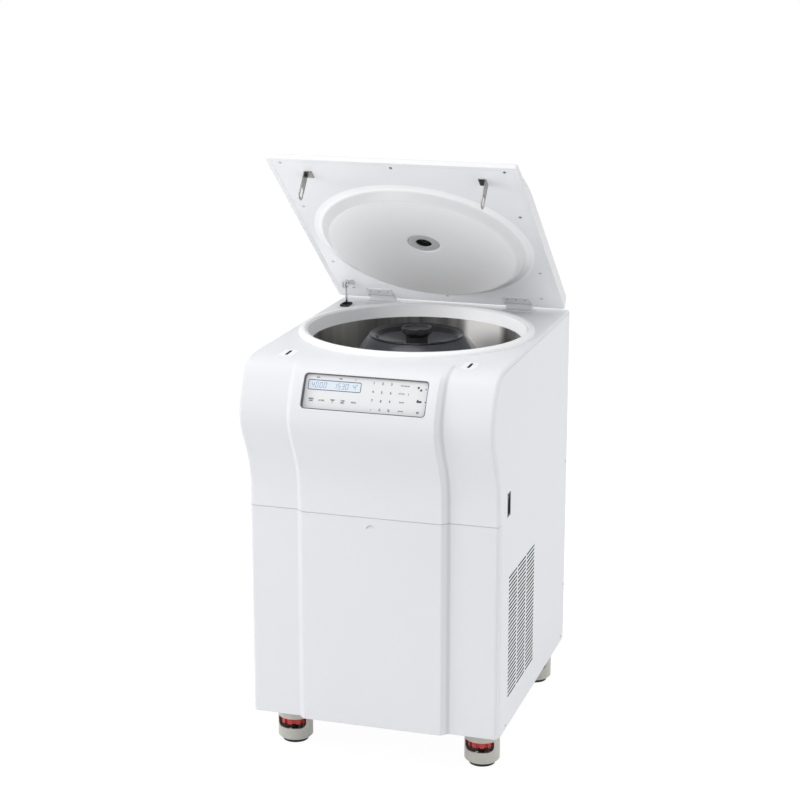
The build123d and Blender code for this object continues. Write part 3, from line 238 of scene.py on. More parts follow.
def powder_coat(paint, colour, edge):
    """The colour of coated steel. Its gloss and its orange peel go straight to the shader."""
    drift = paint.noise(0.25)
    paint.set(roughness=0.36 + 0.08 * drift)
    paint.set(normal=paint.bump(paint.noise(peel_size, 3), peel_depth, edge))
    return paint.blend(drift, shade_of(colour, 0.975), colour)


def plastic_skin(paint, colour, roughness=0.42, grain=0.0009, depth=0.00003, edge=0.0008):
    """The colour of moulded plastic. Its gloss and its fine pits go straight to the shader."""
    pits = paint.noise(grain, 2)
    paint.set(roughness=roughness + 0.06 * pits, normal=paint.bump(pits, depth, edge))
    return paint.blend(paint.noise(0.3), shade_of(colour, 0.97), colour)


def coated_steel(name, colour):
    paint = Painter(name)
    paint.set(base_color=powder_coat(paint, colour, 0.0008))
    return paint.material


def slotted_steel(name, colour, face_x, low, high):
    """Coated steel whose slots, between two corners in y and z, have painted shade on their walls inside the
    sheet.
    """
    paint = Painter(name)
    x, y, z = paint.axes()
    inside = (x < face_x - 0.00025) * (y > low[0]) * (y < high[0]) * (z > low[1]) * (z < high[1])
    paint.set(base_color=paint.blend(inside, powder_coat(paint, colour, 0.0005), slot_wall_shade))
    return paint.material


def moulded(name, colour, roughness=0.42, grain=0.0009, depth=0.00003, edge=0.0008, gloss=0.5):
    paint = Painter(name)
    paint.set(base_color=plastic_skin(paint, colour, roughness, grain, depth, edge))
    paint.set(specular_ior_level=gloss)
    return paint.material


def creased(name, colour, crease_x, half=0.0006, blur=0.006, dark=0.16):
    """The covers' plastic, with painted shade along the upright inner corner on the right."""
    paint = Painter(name)
    x, y, z = paint.axes()
    # Painted shade along the front's inner corner, on the right side only.
    corner = paint.within(x, crease_x, half, blur) * (y < front_of_cover)
    plain = plastic_skin(paint, colour, edge=0.0012)
    paint.set(base_color=paint.blend(corner * dark, plain, (0, 0, 0)))
    return paint.material


def rubber(name, colour=(0.02, 0.02, 0.021), dusty=(0.045, 0.045, 0.046)):
    paint = Painter(name)
    dust = paint.noise(0.004, 4)
    paint.set(base_color=paint.blend(dust.band(0.5, 0.8), colour, dusty), roughness=0.62 + 0.15 * dust)
    paint.set(normal=paint.bump(paint.noise(0.0008), 0.00004))
    return paint.material


cabinet_white = (0.83, 0.84, 0.86)
cover_white = (0.824, 0.822, 0.836)
# A darker copy of the cover's white for the lower front panel: painted shade.
lower_shaded_white = (0.805, 0.81, 0.828)
crease_x = 0.1765
side_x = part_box("right_side_panel")[1].x
# Two corners, in y and z, of the field of slots.
slots_low, slots_high = (-0.21, 0.165), (0.055, 0.468)
finish = {
    "white_paint": coated_steel("white_paint", cabinet_white),
    "side_slots": slotted_steel("side_slots", cabinet_white, side_x, slots_low, slots_high),
    "white_cover": creased("white_cover", cover_white, crease_x),
    "lower_shaded_white": creased("lower_shaded_white", lower_shaded_white, crease_x),
    "white_collar": moulded("white_collar", (0.88, 0.88, 0.885), 0.3, 0.002, 0.00001),
    "collar_rim": moulded("collar_rim", (0.93, 0.93, 0.93), 0.3, 0.002, 0.00001),
    "port_white": moulded("port_white", (0.72, 0.72, 0.72), 0.3),
    "grey_seal": moulded("grey_seal", (0.84, 0.84, 0.845), 0.5, 0.002, 0.00005),
    "keypad_film": moulded("keypad_film", (0.83, 0.83, 0.84), 0.34, 0.0006, 0.00001),
    "black_plastic": moulded("black_plastic", (0.025, 0.025, 0.027), 0.35),
    "knob_black": moulded("knob_black", (0.030, 0.030, 0.032), 0.36, edge=0.0012, gloss=0.25),
    "caster_cream": moulded("caster_cream", (0.60, 0.59, 0.53), 0.42, edge=0.0012),
    "dial_red": moulded("dial_red", (0.62, 0.03, 0.025), 0.35, edge=0.0012),
    "wheel_nylon": moulded("wheel_nylon", (0.50, 0.50, 0.49), 0.5),
    "black_rubber": rubber("black_rubber"),
    "pad_rubber": rubber("pad_rubber"),
}


# %% [markdown]
# ## Metals
# A brushed metal is a mirror with fine scratches in one direction. The scratches are noise stretched along
# the brushing, and they drive the roughness and a very low bump. On a spun bowl they run round the axis, so
# the pattern is read from the height instead, and upright bands of painted reflection are read from the
# angle round the axis.


# %% Metal finishes
def brushed_skin(paint, colour, roughness=0.3, depth=0.00002, darkest=0.86):
    """The colour of brushed metal. Its gloss and its scratches go straight to the shader."""
    scratches = paint.noise(0.02, 4, paint.stretched((1, 1, 60)))
    paint.set(roughness=roughness + 0.12 * scratches, normal=paint.bump(scratches, depth, 0.0004))
    return paint.blend(scratches, shade_of(colour, darkest), colour)


def brushed(name, colour, roughness=0.3, depth=0.00002):
    paint = Painter(name)
    paint.set(base_color=brushed_skin(paint, colour, roughness, depth), metallic=1.0)
    return paint.material


def catch_and_bracket(name, steel, white, bracket_y, stud_x):
    """Bare steel on the catches at the lid's front, white paint on the strut's bracket at its back left."""
    paint = Painter(name)
    x, y, z = paint.axes()
    painted = (y > bracket_y) * (x > stud_x)
    metal = brushed_skin(paint, steel, darkest=0.8)
    paint.set(base_color=paint.blend(painted, metal, white), metallic=1.0 - painted)
    return paint.material


# The middle, half width and blur of each band of painted reflection, in degrees round the bowl's axis, and
# its strength.
painted_fans = ((64, 9, 9, 1.0), (155, 10, 14, 0.25), (-60, 30, 30, 0.3))


def spun(name, dark, pale, centre_y, roughness=0.2):
    """Spun steel: fine rings, and upright bands of painted reflection at set angles round the axis, where
    the steel is paler and less metallic.
    """
    paint = Painter(name)
    x, y, z = paint.axes()
    turn = paint.angle_round(x, y - centre_y)

    def noise_along(value, scale, detail):
        settings, inputs = {"noise_dimensions": "1D"}, {"W": value, "Scale": scale, "Detail": detail}
        return paint.node("ShaderNodeTexNoise", settings, inputs)

    lines = noise_along(z, 700.0, 3.0)
    painted_fan = 0.3 * noise_along(turn, 0.16, 2.5)
    for middle, half, blur, strength in painted_fans:
        painted_fan = painted_fan + strength * paint.within(turn, middle, half, blur)
    painted_fan = painted_fan.clamped()
    paint.set(base_color=paint.blend(painted_fan, dark, pale), metallic=0.85 - 0.55 * painted_fan)
    paint.set(roughness=roughness + 0.1 * lines + 0.3 * painted_fan, normal=paint.bump(lines, 0.00002))
    return paint.material


def anodised(name, colour, roughness=0.3, metallic=0.6):
    paint = Painter(name)
    grain = paint.noise(0.0012, 3)
    cloud = paint.noise(0.06)
    paint.set(base_color=paint.blend(cloud, shade_of(colour, 0.8), colour), metallic=metallic)
    paint.set(roughness=roughness + 0.1 * grain, normal=paint.bump(grain, 0.00001, 0.0009))
    return paint.material


chamber_y = (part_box("chamber_bowl")[0].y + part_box("chamber_bowl")[1].y) / 2
# The strut's bracket lies behind bracket_y, and its stud ends 3.5 mm past the strut's middle.
stud_x = (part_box("strut_rod")[0].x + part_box("strut_rod")[1].x) / 2 + 0.0035
bracket_y = 0.15
finish.update({
    "stainless": spun("stainless", (0.25, 0.245, 0.235), (0.78, 0.765, 0.74), chamber_y),
    "zinc_steel": brushed("zinc_steel", (0.62, 0.63, 0.65)),
    "catch_steel": catch_and_bracket(
        "catch_steel", (0.40, 0.385, 0.37), cabinet_white, bracket_y, stud_x
    ),
    "shaft_steel": brushed("shaft_steel", (0.58, 0.58, 0.59), 0.2),
    "rod_chrome": brushed("rod_chrome", (0.80, 0.80, 0.81), 0.2, depth=0.000004),
    "latch_body": brushed("latch_body", (0.10, 0.10, 0.105), 0.5),
    # Dark condenser fins: painted shade seen through the side slots.
    "condenser_fins": brushed("condenser_fins", (0.16, 0.165, 0.17), 0.45),
    "copper": brushed("copper", (0.72, 0.42, 0.28), 0.3),
    "rotor_black": anodised("rotor_black", (0.068, 0.068, 0.076), 0.16, 0.8),
    "rotor_lid_black": anodised("rotor_lid_black", (0.032, 0.032, 0.037), 0.14, 0.8),
    "motor_grey": anodised("motor_grey", (0.22, 0.23, 0.25), 0.5),
    "black_paint": coated_steel("black_paint", (0.02, 0.02, 0.021)),
    "foam": moulded("foam", (0.75, 0.68, 0.45), 0.8, 0.004, 0.0004),
})


# %% [markdown]
# ## Display window
# The window is a clear cover over a backlit display. It glows a little, evenly, and stays glossy.


# %% Display finish
def lit_window(name, colour, glow):
    paint = Painter(name)
    spread = paint.noise(0.05)
    tint = paint.blend(spread, shade_of(colour, 0.93), colour)
    paint.set(base_color=tint, roughness=0.12 + 0.03 * spread)
    paint.set(emission_color=tint, emission_strength=glow)
    return paint.material


finish["display"] = lit_window("display", (0.67, 0.745, 0.80), 0.15)
finish["digit_blue"] = moulded("digit_blue", (0.20, 0.22, 0.46), 0.3, edge=0.0001)
finish["line_navy"] = moulded("line_navy", (0.05, 0.055, 0.12), 0.3, edge=0.0001)
finish["print_grey"] = moulded("print_grey", (0.07, 0.07, 0.075), 0.5, edge=0.0001)
finish["outline_grey"] = moulded("outline_grey", (0.11, 0.11, 0.12), 0.5, edge=0.0001)
finish["dark_glass"] = moulded("dark_glass", (0.012, 0.014, 0.014), 0.12, 0.01, 0.000002)

# %% [markdown]
# ## Every solid gets its finish
# The frame says which material each solid is made of, and each material has one finish here. Four solids
# have a finish of their own: the collar's rim and the rotor's lid look different from others of their
# material, the right side panel carries painted shade in its slots, and the lower front panel is a darker
# copy of the cover's white as painted shade.

# %% Give every solid its finish
slot_of = {row["node"]: row["material_slot"] for row in frame["record"]["subparts"]}
own_finish = {
    "chamber_ring": "collar_rim",
    "right_side_panel": "side_slots",
    "lower_front_panel": "lower_shaded_white",
    "rotor_lid": "rotor_lid_black",
}
for name, solid in nodes.items():
    solid.data.materials.clear()
    solid.data.materials.append(finish[own_finish.get(name, slot_of[name])])
print("finishes", len(finish))

# %% [markdown]
# ## Print on the keypad
# The keypad is one film with its legends printed on it. A legend is flat ink, so every mark here is a
# flat face that lies just above the film. Marks are first gathered in the panel's own two directions,
# across and up from its middle, and then laid on the tilted panel in one step.

# %% Panel directions and a sheet of marks
panel_lean = math.radians(26)
panel_middle = Vector((0, -0.3445, 0.895))
panel_up = Vector((0, math.sin(panel_lean), math.cos(panel_lean)))
panel_out = Vector((0, -math.cos(panel_lean), math.sin(panel_lean)))


def panel_place(across, up, height=0.0):
    """The point at millimetres across and up from the panel's middle, and a height in metres off it."""
    return panel_middle + Vector((across * mm, 0, 0)) + panel_up * up * mm + panel_out * height


def face_height(node):
    """How far a node's front stands off the panel's plane."""
    return max((vertex.co - panel_middle).dot(panel_out) for vertex in nodes[node].data.vertices)


def new_piece(name, mesh, material, body):
    """A finished mesh as a piece that rides on a body."""
    mesh.materials.clear()
    mesh.materials.append(material)
    piece = bpy.data.objects.new(name, mesh)
    bpy.context.collection.objects.link(piece)
    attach(piece, body)
    return piece


def round_rim(across, up, wide, tall, corner, grow=0.0, steps=8):
    """Points round a rectangle with round corners, moved outwards by grow."""
    rim = []
    for quarter in range(4):
        side_x = 1 if quarter in (0, 3) else -1
        side_y = 1 if quarter < 2 else -1
        for step in range(steps + 1):
            turn = math.pi / 2 * (quarter + step / steps)
            rim.append((
                across + side_x * (wide / 2 - corner) + (corner + grow) * math.cos(turn),
                up + side_y * (tall / 2 - corner) + (corner + grow) * math.sin(turn),
            ))
    return rim


# A capital's height as a share of the font's size.
capital_share = 0.73


class Ink:
    """Flat marks in millimetres across and up from the panel's middle."""

    def __init__(self):
        self.points = []
        self.faces = []

    def polygon(self, points):
        first = len(self.points)
        self.points += points
        self.faces.append(tuple(range(first, first + len(points))))

    def bar(self, across, up, wide, tall, lean=0.0):
        half_w, half_t = wide / 2, tall / 2
        corners = ((-half_w, -half_t), (half_w, -half_t), (half_w, half_t), (-half_w, half_t))
        self.polygon([(across + x + lean * y, up + y) for x, y in corners])

    def dot(self, across, up, radius, sides=20):
        turns = [2 * math.pi * i / sides for i in range(sides)]
        self.polygon([(across + radius * math.cos(a), up + radius * math.sin(a)) for a in turns])

    def outline(self, across, up, wide, tall, corner, line):
        """A closed line along a rectangle with round corners."""
        rims = [round_rim(across, up, wide, tall, corner, grow) for grow in (0, -line)]
        first = len(self.points)
        self.points += rims[0] + rims[1]
        count = len(rims[0])
        for i in range(count):
            after = (i + 1) % count
            self.faces.append((first + i, first + after, first + count + after, first + count + i))

    def words(self, text, across, up, tall, bold=0.12):
        """Text round a place; tall is the height of a capital, bold what each stroke grows by."""
        curve = bpy.data.curves.new("words", "FONT")
        curve.body = text
        curve.size = tall / capital_share
        curve.align_x = "CENTER"
        curve.align_y = "CENTER"
        curve.resolution_u = 3
        curve.offset = bold
        carrier = bpy.data.objects.new("words", curve)
        bpy.context.collection.objects.link(carrier)
        graph = bpy.context.evaluated_depsgraph_get()
        mesh = bpy.data.meshes.new_from_object(carrier.evaluated_get(graph))
        first = len(self.points)
        self.points += [(across + vertex.co.x, up + vertex.co.y) for vertex in mesh.vertices]
        self.faces += [tuple(first + index for index in face.vertices) for face in mesh.polygons]
        bpy.data.objects.remove(carrier)
        bpy.data.curves.remove(curve)
        bpy.data.meshes.remove(mesh)

    def lay(self, name, height, material):
        """The marks as one piece on the panel, at a height off its plane."""
        mesh = bpy.data.meshes.new(name)
        mesh.from_pydata([panel_place(x, y, height) for x, y in self.points], [], self.faces)
        new_piece(name, mesh, material, "cabinet")
        print(name, len(self.faces), "faces")


ink_height, line_height = 0.00006, 0.00005
film_height = face_height("keypad_membrane")
window_height = face_height("display_window")
print("film", round(film_height / mm, 2), "window", round(window_height / mm, 2))

# %% [markdown]
# ## Legends
# The number keys stand in a grid, so two loops place them. The function keys share one line under the
# display, and the units one line over it. The rest are single words and signs, each listed with its
# place.

# %% Legends
word_tall, pale_word_tall = 2.8, 3.0
first_key, key_pitch, key_tall, key_bold = (16, 28.5), (20, 19.3), 5.6, 0.22
function_up, function_tall, function_bold = -18, 3.2, 0.2
unit_up, unit_tall = 32.4, 3.0
legend = Ink()
for row, line in enumerate(("123", "456", "789", "-0%")):
    for column, sign in enumerate(line):
        across, up = first_key[0] + key_pitch[0] * column, first_key[1] - key_pitch[1] * row
        legend.words(sign, across, up, key_tall, key_bold)
for text, across in (
    ("SPEED\nRPM", -122), ("ACCEL", -98), ("TEMP\nC", -73), ("TIME\nMIN", -50), ("PROG", -24.5),
):
    legend.words(text, across, function_up, function_tall, function_bold)
for text, across in (("RPM", -112), ("MIN", -60), ("C", -26)):
    legend.words(text, across, unit_up, unit_tall)
for text, across, up in (("BRAKE", 83, -9.5), ("ENTER", 83, -29)):
    legend.words(text, across, up, word_tall)

# Signs beside the keys: a stroke, two balls, an open lid, a triangle with a bar, and two small lamps.
legend.bar(96, 9.5, 1.3, 4.0, 0.2)
legend.dot(117, 25.5, 2.6)
legend.dot(123, 20.5, 2.6)
legend.bar(121.5, -5, 11, 4.6)
legend.bar(118.5, -1.6, 3.2, 2.4)
legend.polygon([(117.2, -29), (121.6, -25.6), (121.6, -32.4)])
legend.bar(123.8, -29, 1.2, 5.2)
legend.dot(134, 23, 1.5)
legend.dot(135.7, -5, 1.5)
legend.lay("keypad_legends", film_height + ink_height, finish["print_grey"])

pale_legend = Ink()
pale_legend.words("PROGRAM", 86.5, 27, pale_word_tall)
pale_legend.words("RECALL", 81, 9.5, pale_word_tall)
pale_legend.lay("keypad_pale_legends", film_height + ink_height, finish["outline_grey"])

# %% [markdown]
# ## Painted shade round the keypad
# The film lies in a shallow recess, and a dark strip of painted shade lines the gap between the film and the
# cover. It is level with the cover, so it is seen all round from any side. The cover is a curved skin, so
# the strip asks the cover for its height beside each of its points, by a ray sent in from the front.

# %% Keypad gap shade
cover_skin = BVHTree.FromPolygons(
    [vertex.co for vertex in nodes["top_cover"].data.vertices],
    [tuple(face.vertices) for face in nodes["top_cover"].data.polygons],
)


def closed_strips(rims):
    """Faces that join closed rims of equal length one after the other, and the last to the first."""
    count = len(rims[0])
    points = [point for rim in rims for point in rim]
    faces = []
    for ring in range(len(rims)):
        here, there = ring * count, (ring + 1) % len(rims) * count
        for i in range(count):
            after = (i + 1) % count
            faces.append((here + i, here + after, there + after, there + i))
    return points, faces


# Width, height and corner radius of the painted gap shade, in millimetres.
gap_shade = (282.6, 80.6, 8.8)
gap_shade_line, beside_gap_shade, gap_shade_foot = 1.7, 2.2, film_height - 0.0002
ray_start = 0.05
gap_shade_tops = []
for across, up in round_rim(0, 0, *gap_shade, beside_gap_shade):
    hit = cover_skin.ray_cast(panel_place(across, up, ray_start), -panel_out)
    gap_shade_tops.append(ray_start - hit[3])
rises = [round((height - film_height) / mm, 2) for height in (min(gap_shade_tops), max(gap_shade_tops))]
print("the cover stands over the film by", rises, "mm")
outer = round_rim(0, 0, *gap_shade)
inner = round_rim(0, 0, *gap_shade, -gap_shade_line)
gap_shade_rims = [
    [panel_place(x, y, gap_shade_foot) for x, y in outer],
    [panel_place(x, y, top) for (x, y), top in zip(outer, gap_shade_tops)],
    [panel_place(x, y, top) for (x, y), top in zip(inner, gap_shade_tops)],
    [panel_place(x, y, gap_shade_foot) for x, y in inner],
]
gap_shade_mesh = bpy.data.meshes.new("keypad_gap_shade")
gap_shade_points, gap_shade_faces = closed_strips(gap_shade_rims)
gap_shade_mesh.from_pydata(gap_shade_points, [], gap_shade_faces)
new_piece("keypad_gap_shade", gap_shade_mesh, finish["outline_grey"], "cabinet")

# %% [markdown]
# ## Plates of the two latches
# The catches of the lid drop through two slotted plates. Each plate is a thin moulded flange that lies on
# the deck, so it takes its height from the deck beside it, and the walls of its slot are black as painted
# shade. The flange is 4 mm wider to each side than the solid it stands for, and 2 mm longer at each end.


# %% Latch plates
plate_low, plate_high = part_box("latch_escutcheons")
solid_half = 0.013
plate_x, plate_y = plate_high.x - solid_half, (plate_low.y + plate_high.y) / 2
plate_size, plate_rise = (34.0, 50.0), 0.0011
slot_size, slot_shade_grow = (6.0, 37.5), 2.4
beside_slot, above_deck, under_deck = 0.022, 1.1, -0.0004
strip_count, slot_shade_strips = 9, range(4, 7)


def latch_plate(centre_x):
    """Points and faces of one plate. Strips 4 to 6, from the slot's mouth down, are black as painted shade
    in the slot.
    """
    def deck_height(y):
        start = Vector((centre_x + beside_slot, y, above_deck))
        return above_deck - cover_skin.ray_cast(start, Vector((0, 0, -1)))[3]

    def rim(size, corner, rise=None):
        """Points round a rectangle, a rise above the deck, or at the plate's bottom without one."""
        places = []
        for x, y in round_rim(centre_x / mm, plate_y / mm, *size, corner):
            height = plate_low.z if rise is None else deck_height(y * mm) + rise
            places.append(Vector((x * mm, y * mm, height)))
        return places

    def larger(size, grow, grow_long=None):
        return size[0] + grow, size[1] + (grow if grow_long is None else grow_long)

    # Each rim: its size, the radius of its corners and how far it stands over the deck.
    return closed_strips([
        rim(plate_size, 4.0, 0.0),
        rim(plate_size, 4.0, plate_rise * 0.5),
        rim(larger(plate_size, -1.2), 3.4, plate_rise),
        rim(larger(slot_size, 1.0), 2.2, plate_rise),
        rim(slot_size, 1.8, plate_rise * 0.6),
        rim(slot_size, 1.8),
        rim(larger(slot_size, slot_shade_grow), 2.4),
        rim(larger(slot_size, slot_shade_grow), 2.4, under_deck),
        rim(larger(plate_size, -8.4, -4.4), 2.4, under_deck),
    ])


plate_points, plate_faces, slot_shade_faces = [], [], []
for side in (-1, 1):
    points, faces = latch_plate(side * plate_x)
    slot_shade_faces += [i * strip_count // len(faces) in slot_shade_strips for i in range(len(faces))]
    plate_faces += [tuple(len(plate_points) + index for index in face) for face in faces]
    plate_points += points
plate_mesh = bpy.data.meshes.new("latch_plates")
plate_mesh.from_pydata(plate_points, [], plate_faces)
plates = new_piece("latch_plates", plate_mesh, finish["collar_rim"], "cabinet")
plates.data.materials.append(finish["black_plastic"])
for face, black in zip(plates.data.polygons, slot_shade_faces):
    face.material_index = int(black)
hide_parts("latch_escutcheons")
print("latch plates", len(plate_faces), "faces,", sum(slot_shade_faces), "of them black")

# %% [markdown]
# ## Digits on the display
# Each digit is made of seven bars with a slight lean. The names of the lit bars are the usual ones: the
# top is a, then clockwise b, c, d, e and f, with g in the middle.

# %% Digits
lit_bars = {
    "0": "abcdef", "1": "bc", "2": "abged", "3": "abgcd", "4": "fgbc",
    "5": "afgcd", "6": "afgedc", "7": "abc", "8": "abcdefg", "9": "abcdfg",
}
bar_places = {
    "a": (0, 0.5), "g": (0, 0), "d": (0, -0.5),
    "f": (-0.5, 0.25), "b": (0.5, 0.25), "e": (-0.5, -0.25), "c": (0.5, -0.25),
}
digit_wide, digit_tall, digit_line, digit_lean = 5.2, 11.8, 0.95, 0.14


def draw_digit(ink, digit, across, up):
    """The lit bars of one digit: a, g and d lie flat, and the other four stand."""
    for bar in lit_bars[digit]:
        x, y = bar_places[bar]
        if bar in "agd":
            size = (digit_wide - digit_line * 0.4, digit_line)
        else:
            size = (digit_line, digit_tall / 2 - digit_line * 0.5)
        middle = across + x * digit_wide + digit_lean * y * digit_tall
        ink.bar(middle, up + y * digit_tall, *size, digit_lean)


digits = Ink()
digit_up = 15.8
for text, middle, pitch in (("4000", -108, 9.4), ("1530", -57.5, 8.9), ("4", -27, 0)):
    for place, digit in enumerate(text):
        draw_digit(digits, digit, middle + (place - (len(text) - 1) / 2) * pitch, digit_up)
digits.dot(-20.5, digit_up + 5, 1.0)
digits.lay("display_digits", window_height + ink_height, finish["digit_blue"])
window_line = Ink()
window_line.outline(-72.5, digit_up, 121.6, 22.6, 3.2, 1.5)
window_line.lay("display_outline", window_height + line_height, finish["line_navy"])

# %% [markdown]
# ## Lid plug and the pane of its port
# The plug under the lid is a vacuum-formed skin, so all its corners are wide and soft, and its foot runs
# out on the lid's plate. It is a turned shape, and a turned shape is a profile of radius and height
# carried round an axis. The profile is smoothed first, by cutting each corner twice at quarters, which
# leaves the straight parts straight. The dark pane in the middle of the plug is turned in the same way.


# %% Turned skins
def cut_corners(points, rounds=2):
    """The line through points with every corner cut off at quarters, a few rounds over."""
    for _ in range(rounds):
        smooth = [points[0]]
        for start, end in zip(points, points[1:]):
            smooth.append(tuple(a * 0.75 + b * 0.25 for a, b in zip(start, end)))
            smooth.append(tuple(a * 0.25 + b * 0.75 for a, b in zip(start, end)))
        points = smooth + [points[-1]]
    return points


def turned(name, profile, centre, axis_x, axis_y, axis_z, sides=160):
    """A closed ring of (radius, height) points, in millimetres, carried round a centre."""
    made = bmesh.new()
    rims = []
    for step in range(sides):
        turn = 2 * math.pi * step / sides
        out = axis_x * math.cos(turn) + axis_y * math.sin(turn)
        rims.append([made.verts.new(centre + out * r * mm + axis_z * h * mm) for r, h in profile])
    for rim, after in zip(rims, rims[1:] + rims[:1]):
        for i in range(len(profile)):
            j = (i + 1) % len(profile)
            made.faces.new((rim[i], after[i], after[j], rim[j]))
    bmesh.ops.recalc_face_normals(made, faces=made.faces)
    for face in made.faces:
        face.smooth = True
    mesh = bpy.data.meshes.new(name)
    made.to_mesh(mesh)
    made.free()
    mesh.set_sharp_from_angle(angle=math.radians(40))
    print(name, len(mesh.polygons), "faces")
    return mesh


lid_open = math.radians(38.98)
lid_hinge = Vector((0, 0.335, 0.982))
lid_along = Vector((0, math.cos(lid_open), -math.sin(lid_open)))
lid_up = Vector((0, math.sin(lid_open), math.cos(lid_open)))
right = Vector((1, 0, 0))


def lid_point(x, y, z):
    """A point of the lid in mm: x to the right, y back from the hinge, z up when the lid is shut."""
    return lid_hinge + right * x * mm + lid_along * y * mm + lid_up * z * mm


plug_middle = lid_point(0, -291.3, -15)
# Radii of the painted shade in the crease at the plug's foot and round its flank, and the half width over
# which the flank's shade lightens from left to right.
toe_radius, flank_radius, plug_half = 0.247, 0.232, 0.22


def plug_plastic(name, colour):
    """Collar plastic in a lighter copy of the collar's white as painted light, with painted shade round the
    plug's flank, heavier on the left, and in the crease at its foot.
    """
    paint = Painter(name)
    x, y, z = paint.axes()
    along = (y - plug_middle.y) * lid_along.y + (z - plug_middle.z) * lid_along.z
    radius = (x * x + along * along) ** 0.5
    toe = paint.within(radius, toe_radius, 0.004, 0.010) * along.band(0.02, 0.2)
    flank = paint.within(radius, flank_radius, 0.006, 0.008)
    shade = flank * (0.40 - 0.22 * x.band(-plug_half, plug_half)) + toe * 0.4
    plain = plastic_skin(paint, colour, 0.3, 0.002, 0.00001)
    paint.set(base_color=paint.blend(shade.clamped(), plain, (0, 0, 0)))
    return paint.material


plug_skin = [
    (38.2, 0), (38.2, -3.3), (60, -5.1), (120, -10.6), (180, -16.2), (212, -18.8), (217, -19.4),
    (223, -19.4), (228, -16.0), (236, -8.0), (243, -2.6), (251, -0.9), (261, -0.25),
]
plug_skin = [(38.2, 1.8)] + cut_corners(plug_skin) + [(261, 0.1), (239.6, 0.1), (239.6, 1.8)]
plug = new_piece(
    "lid_plug_skin", turned("lid_plug_skin", plug_skin, plug_middle, right, lid_along, lid_up),
    plug_plastic("plug_plastic", (0.92, 0.92, 0.925)), "lid",
)
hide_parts("lid_plug")
port_glass = [(0.5, 1.8), (0.5, 2.6), (10, 2.4), (16, 1.4), (19.3, 0.4), (19.3, 2.9), (10, 2.95)]
new_piece(
    "port_glass", turned("port_glass", port_glass, plug_middle, right, lid_along, lid_up, 64),
    finish["dark_glass"], "lid",
)

# %% [markdown]
# ## Screws
# Small cap screws hold the side and rear sheets and the hinge leaves. They are all alike, so one node tree
# makes them: it sets a head with a flat black six-sided mark over it, painted shade of the socket, on each
# given point and turns it to face outwards. The head's sizes are named inputs of the tree, and the points
# carry their outward direction as an attribute.


# %% Screw tree
def tree_node(tree, kind, inputs=None, **settings):
    """A new node with its settings set first and its inputs linked or set."""
    made = tree.nodes.new(kind)
    for key, value in settings.items():
        setattr(made, key, value)
    for key, value in (inputs or {}).items():
        if isinstance(value, bpy.types.NodeSocket):
            tree.links.new(value, made.inputs[key])
        else:
            made.inputs[key].default_value = value
    return made


crown_share, socket_share = 0.72, 0.42


def screw_tree(steel, socket_shade):
    """A tree that puts a screw on every point it is given, facing along the point's attribute."""
    tree = bpy.data.node_groups.new("cap_screws", "GeometryNodeTree")
    tree.interface.new_socket("Places", in_out="INPUT", socket_type="NodeSocketGeometry")
    for name in ("Head radius", "Head rise", "Socket radius"):
        tree.interface.new_socket(name, in_out="INPUT", socket_type="NodeSocketFloat")
    tree.interface.new_socket("Screws", in_out="OUTPUT", socket_type="NodeSocketGeometry")
    given = tree.nodes.new("NodeGroupInput").outputs
    crown = tree_node(
        tree, "ShaderNodeMath", {0: given["Head radius"], 1: crown_share}, operation="MULTIPLY"
    )
    head = tree_node(tree, "GeometryNodeMeshCone", {
        "Vertices": 20, "Radius Top": crown.outputs[0], "Radius Bottom": given["Head radius"],
        "Depth": given["Head rise"],
    })
    # The socket is a flat black hexagon over the head: painted shade, not a recess.
    socket = tree_node(tree, "GeometryNodeMeshCylinder", {
        "Vertices": 6, "Radius": given["Socket radius"], "Depth": 0.0001,
    })
    up = tree_node(tree, "ShaderNodeCombineXYZ", {"Z": given["Head rise"]})
    raised = tree_node(tree, "GeometryNodeTransform", {
        "Geometry": socket.outputs["Mesh"], "Translation": up.outputs[0],
    })
    marked = tree_node(tree, "GeometryNodeStoreNamedAttribute", {
        "Geometry": raised.outputs[0], "Name": "socket_shade", "Value": True,
    }, data_type="BOOLEAN", domain="FACE")
    screw = tree_node(tree, "GeometryNodeJoinGeometry")
    tree.links.new(head.outputs["Mesh"], screw.inputs[0])
    tree.links.new(marked.outputs[0], screw.inputs[0])
    facing = tree_node(tree, "GeometryNodeInputNamedAttribute", {"Name": "facing"}, data_type="FLOAT_VECTOR")
    turn = tree_node(tree, "FunctionNodeAlignRotationToVector", {"Vector": facing.outputs[0]}, axis="Z")
    placed = tree_node(tree, "GeometryNodeInstanceOnPoints", {
        "Points": given["Places"], "Instance": screw.outputs[0], "Rotation": turn.outputs[0],
    })
    real = tree_node(tree, "GeometryNodeRealizeInstances", {0: placed.outputs[0]})
    plain = tree_node(tree, "GeometryNodeSetMaterial", {"Geometry": real.outputs[0], "Material": steel})
    is_socket_shade = tree_node(tree, "GeometryNodeInputNamedAttribute", {"Name": "socket_shade"}, data_type="BOOLEAN")
    dark = tree_node(tree, "GeometryNodeSetMaterial", {
        "Geometry": plain.outputs[0], "Selection": is_socket_shade.outputs[0], "Material": socket_shade,
    })
    leave = tree.nodes.new("NodeGroupOutput")
    tree.links.new(dark.outputs[0], leave.inputs[0])
    return tree


cap_screws = screw_tree(finish["zinc_steel"], finish["black_plastic"])


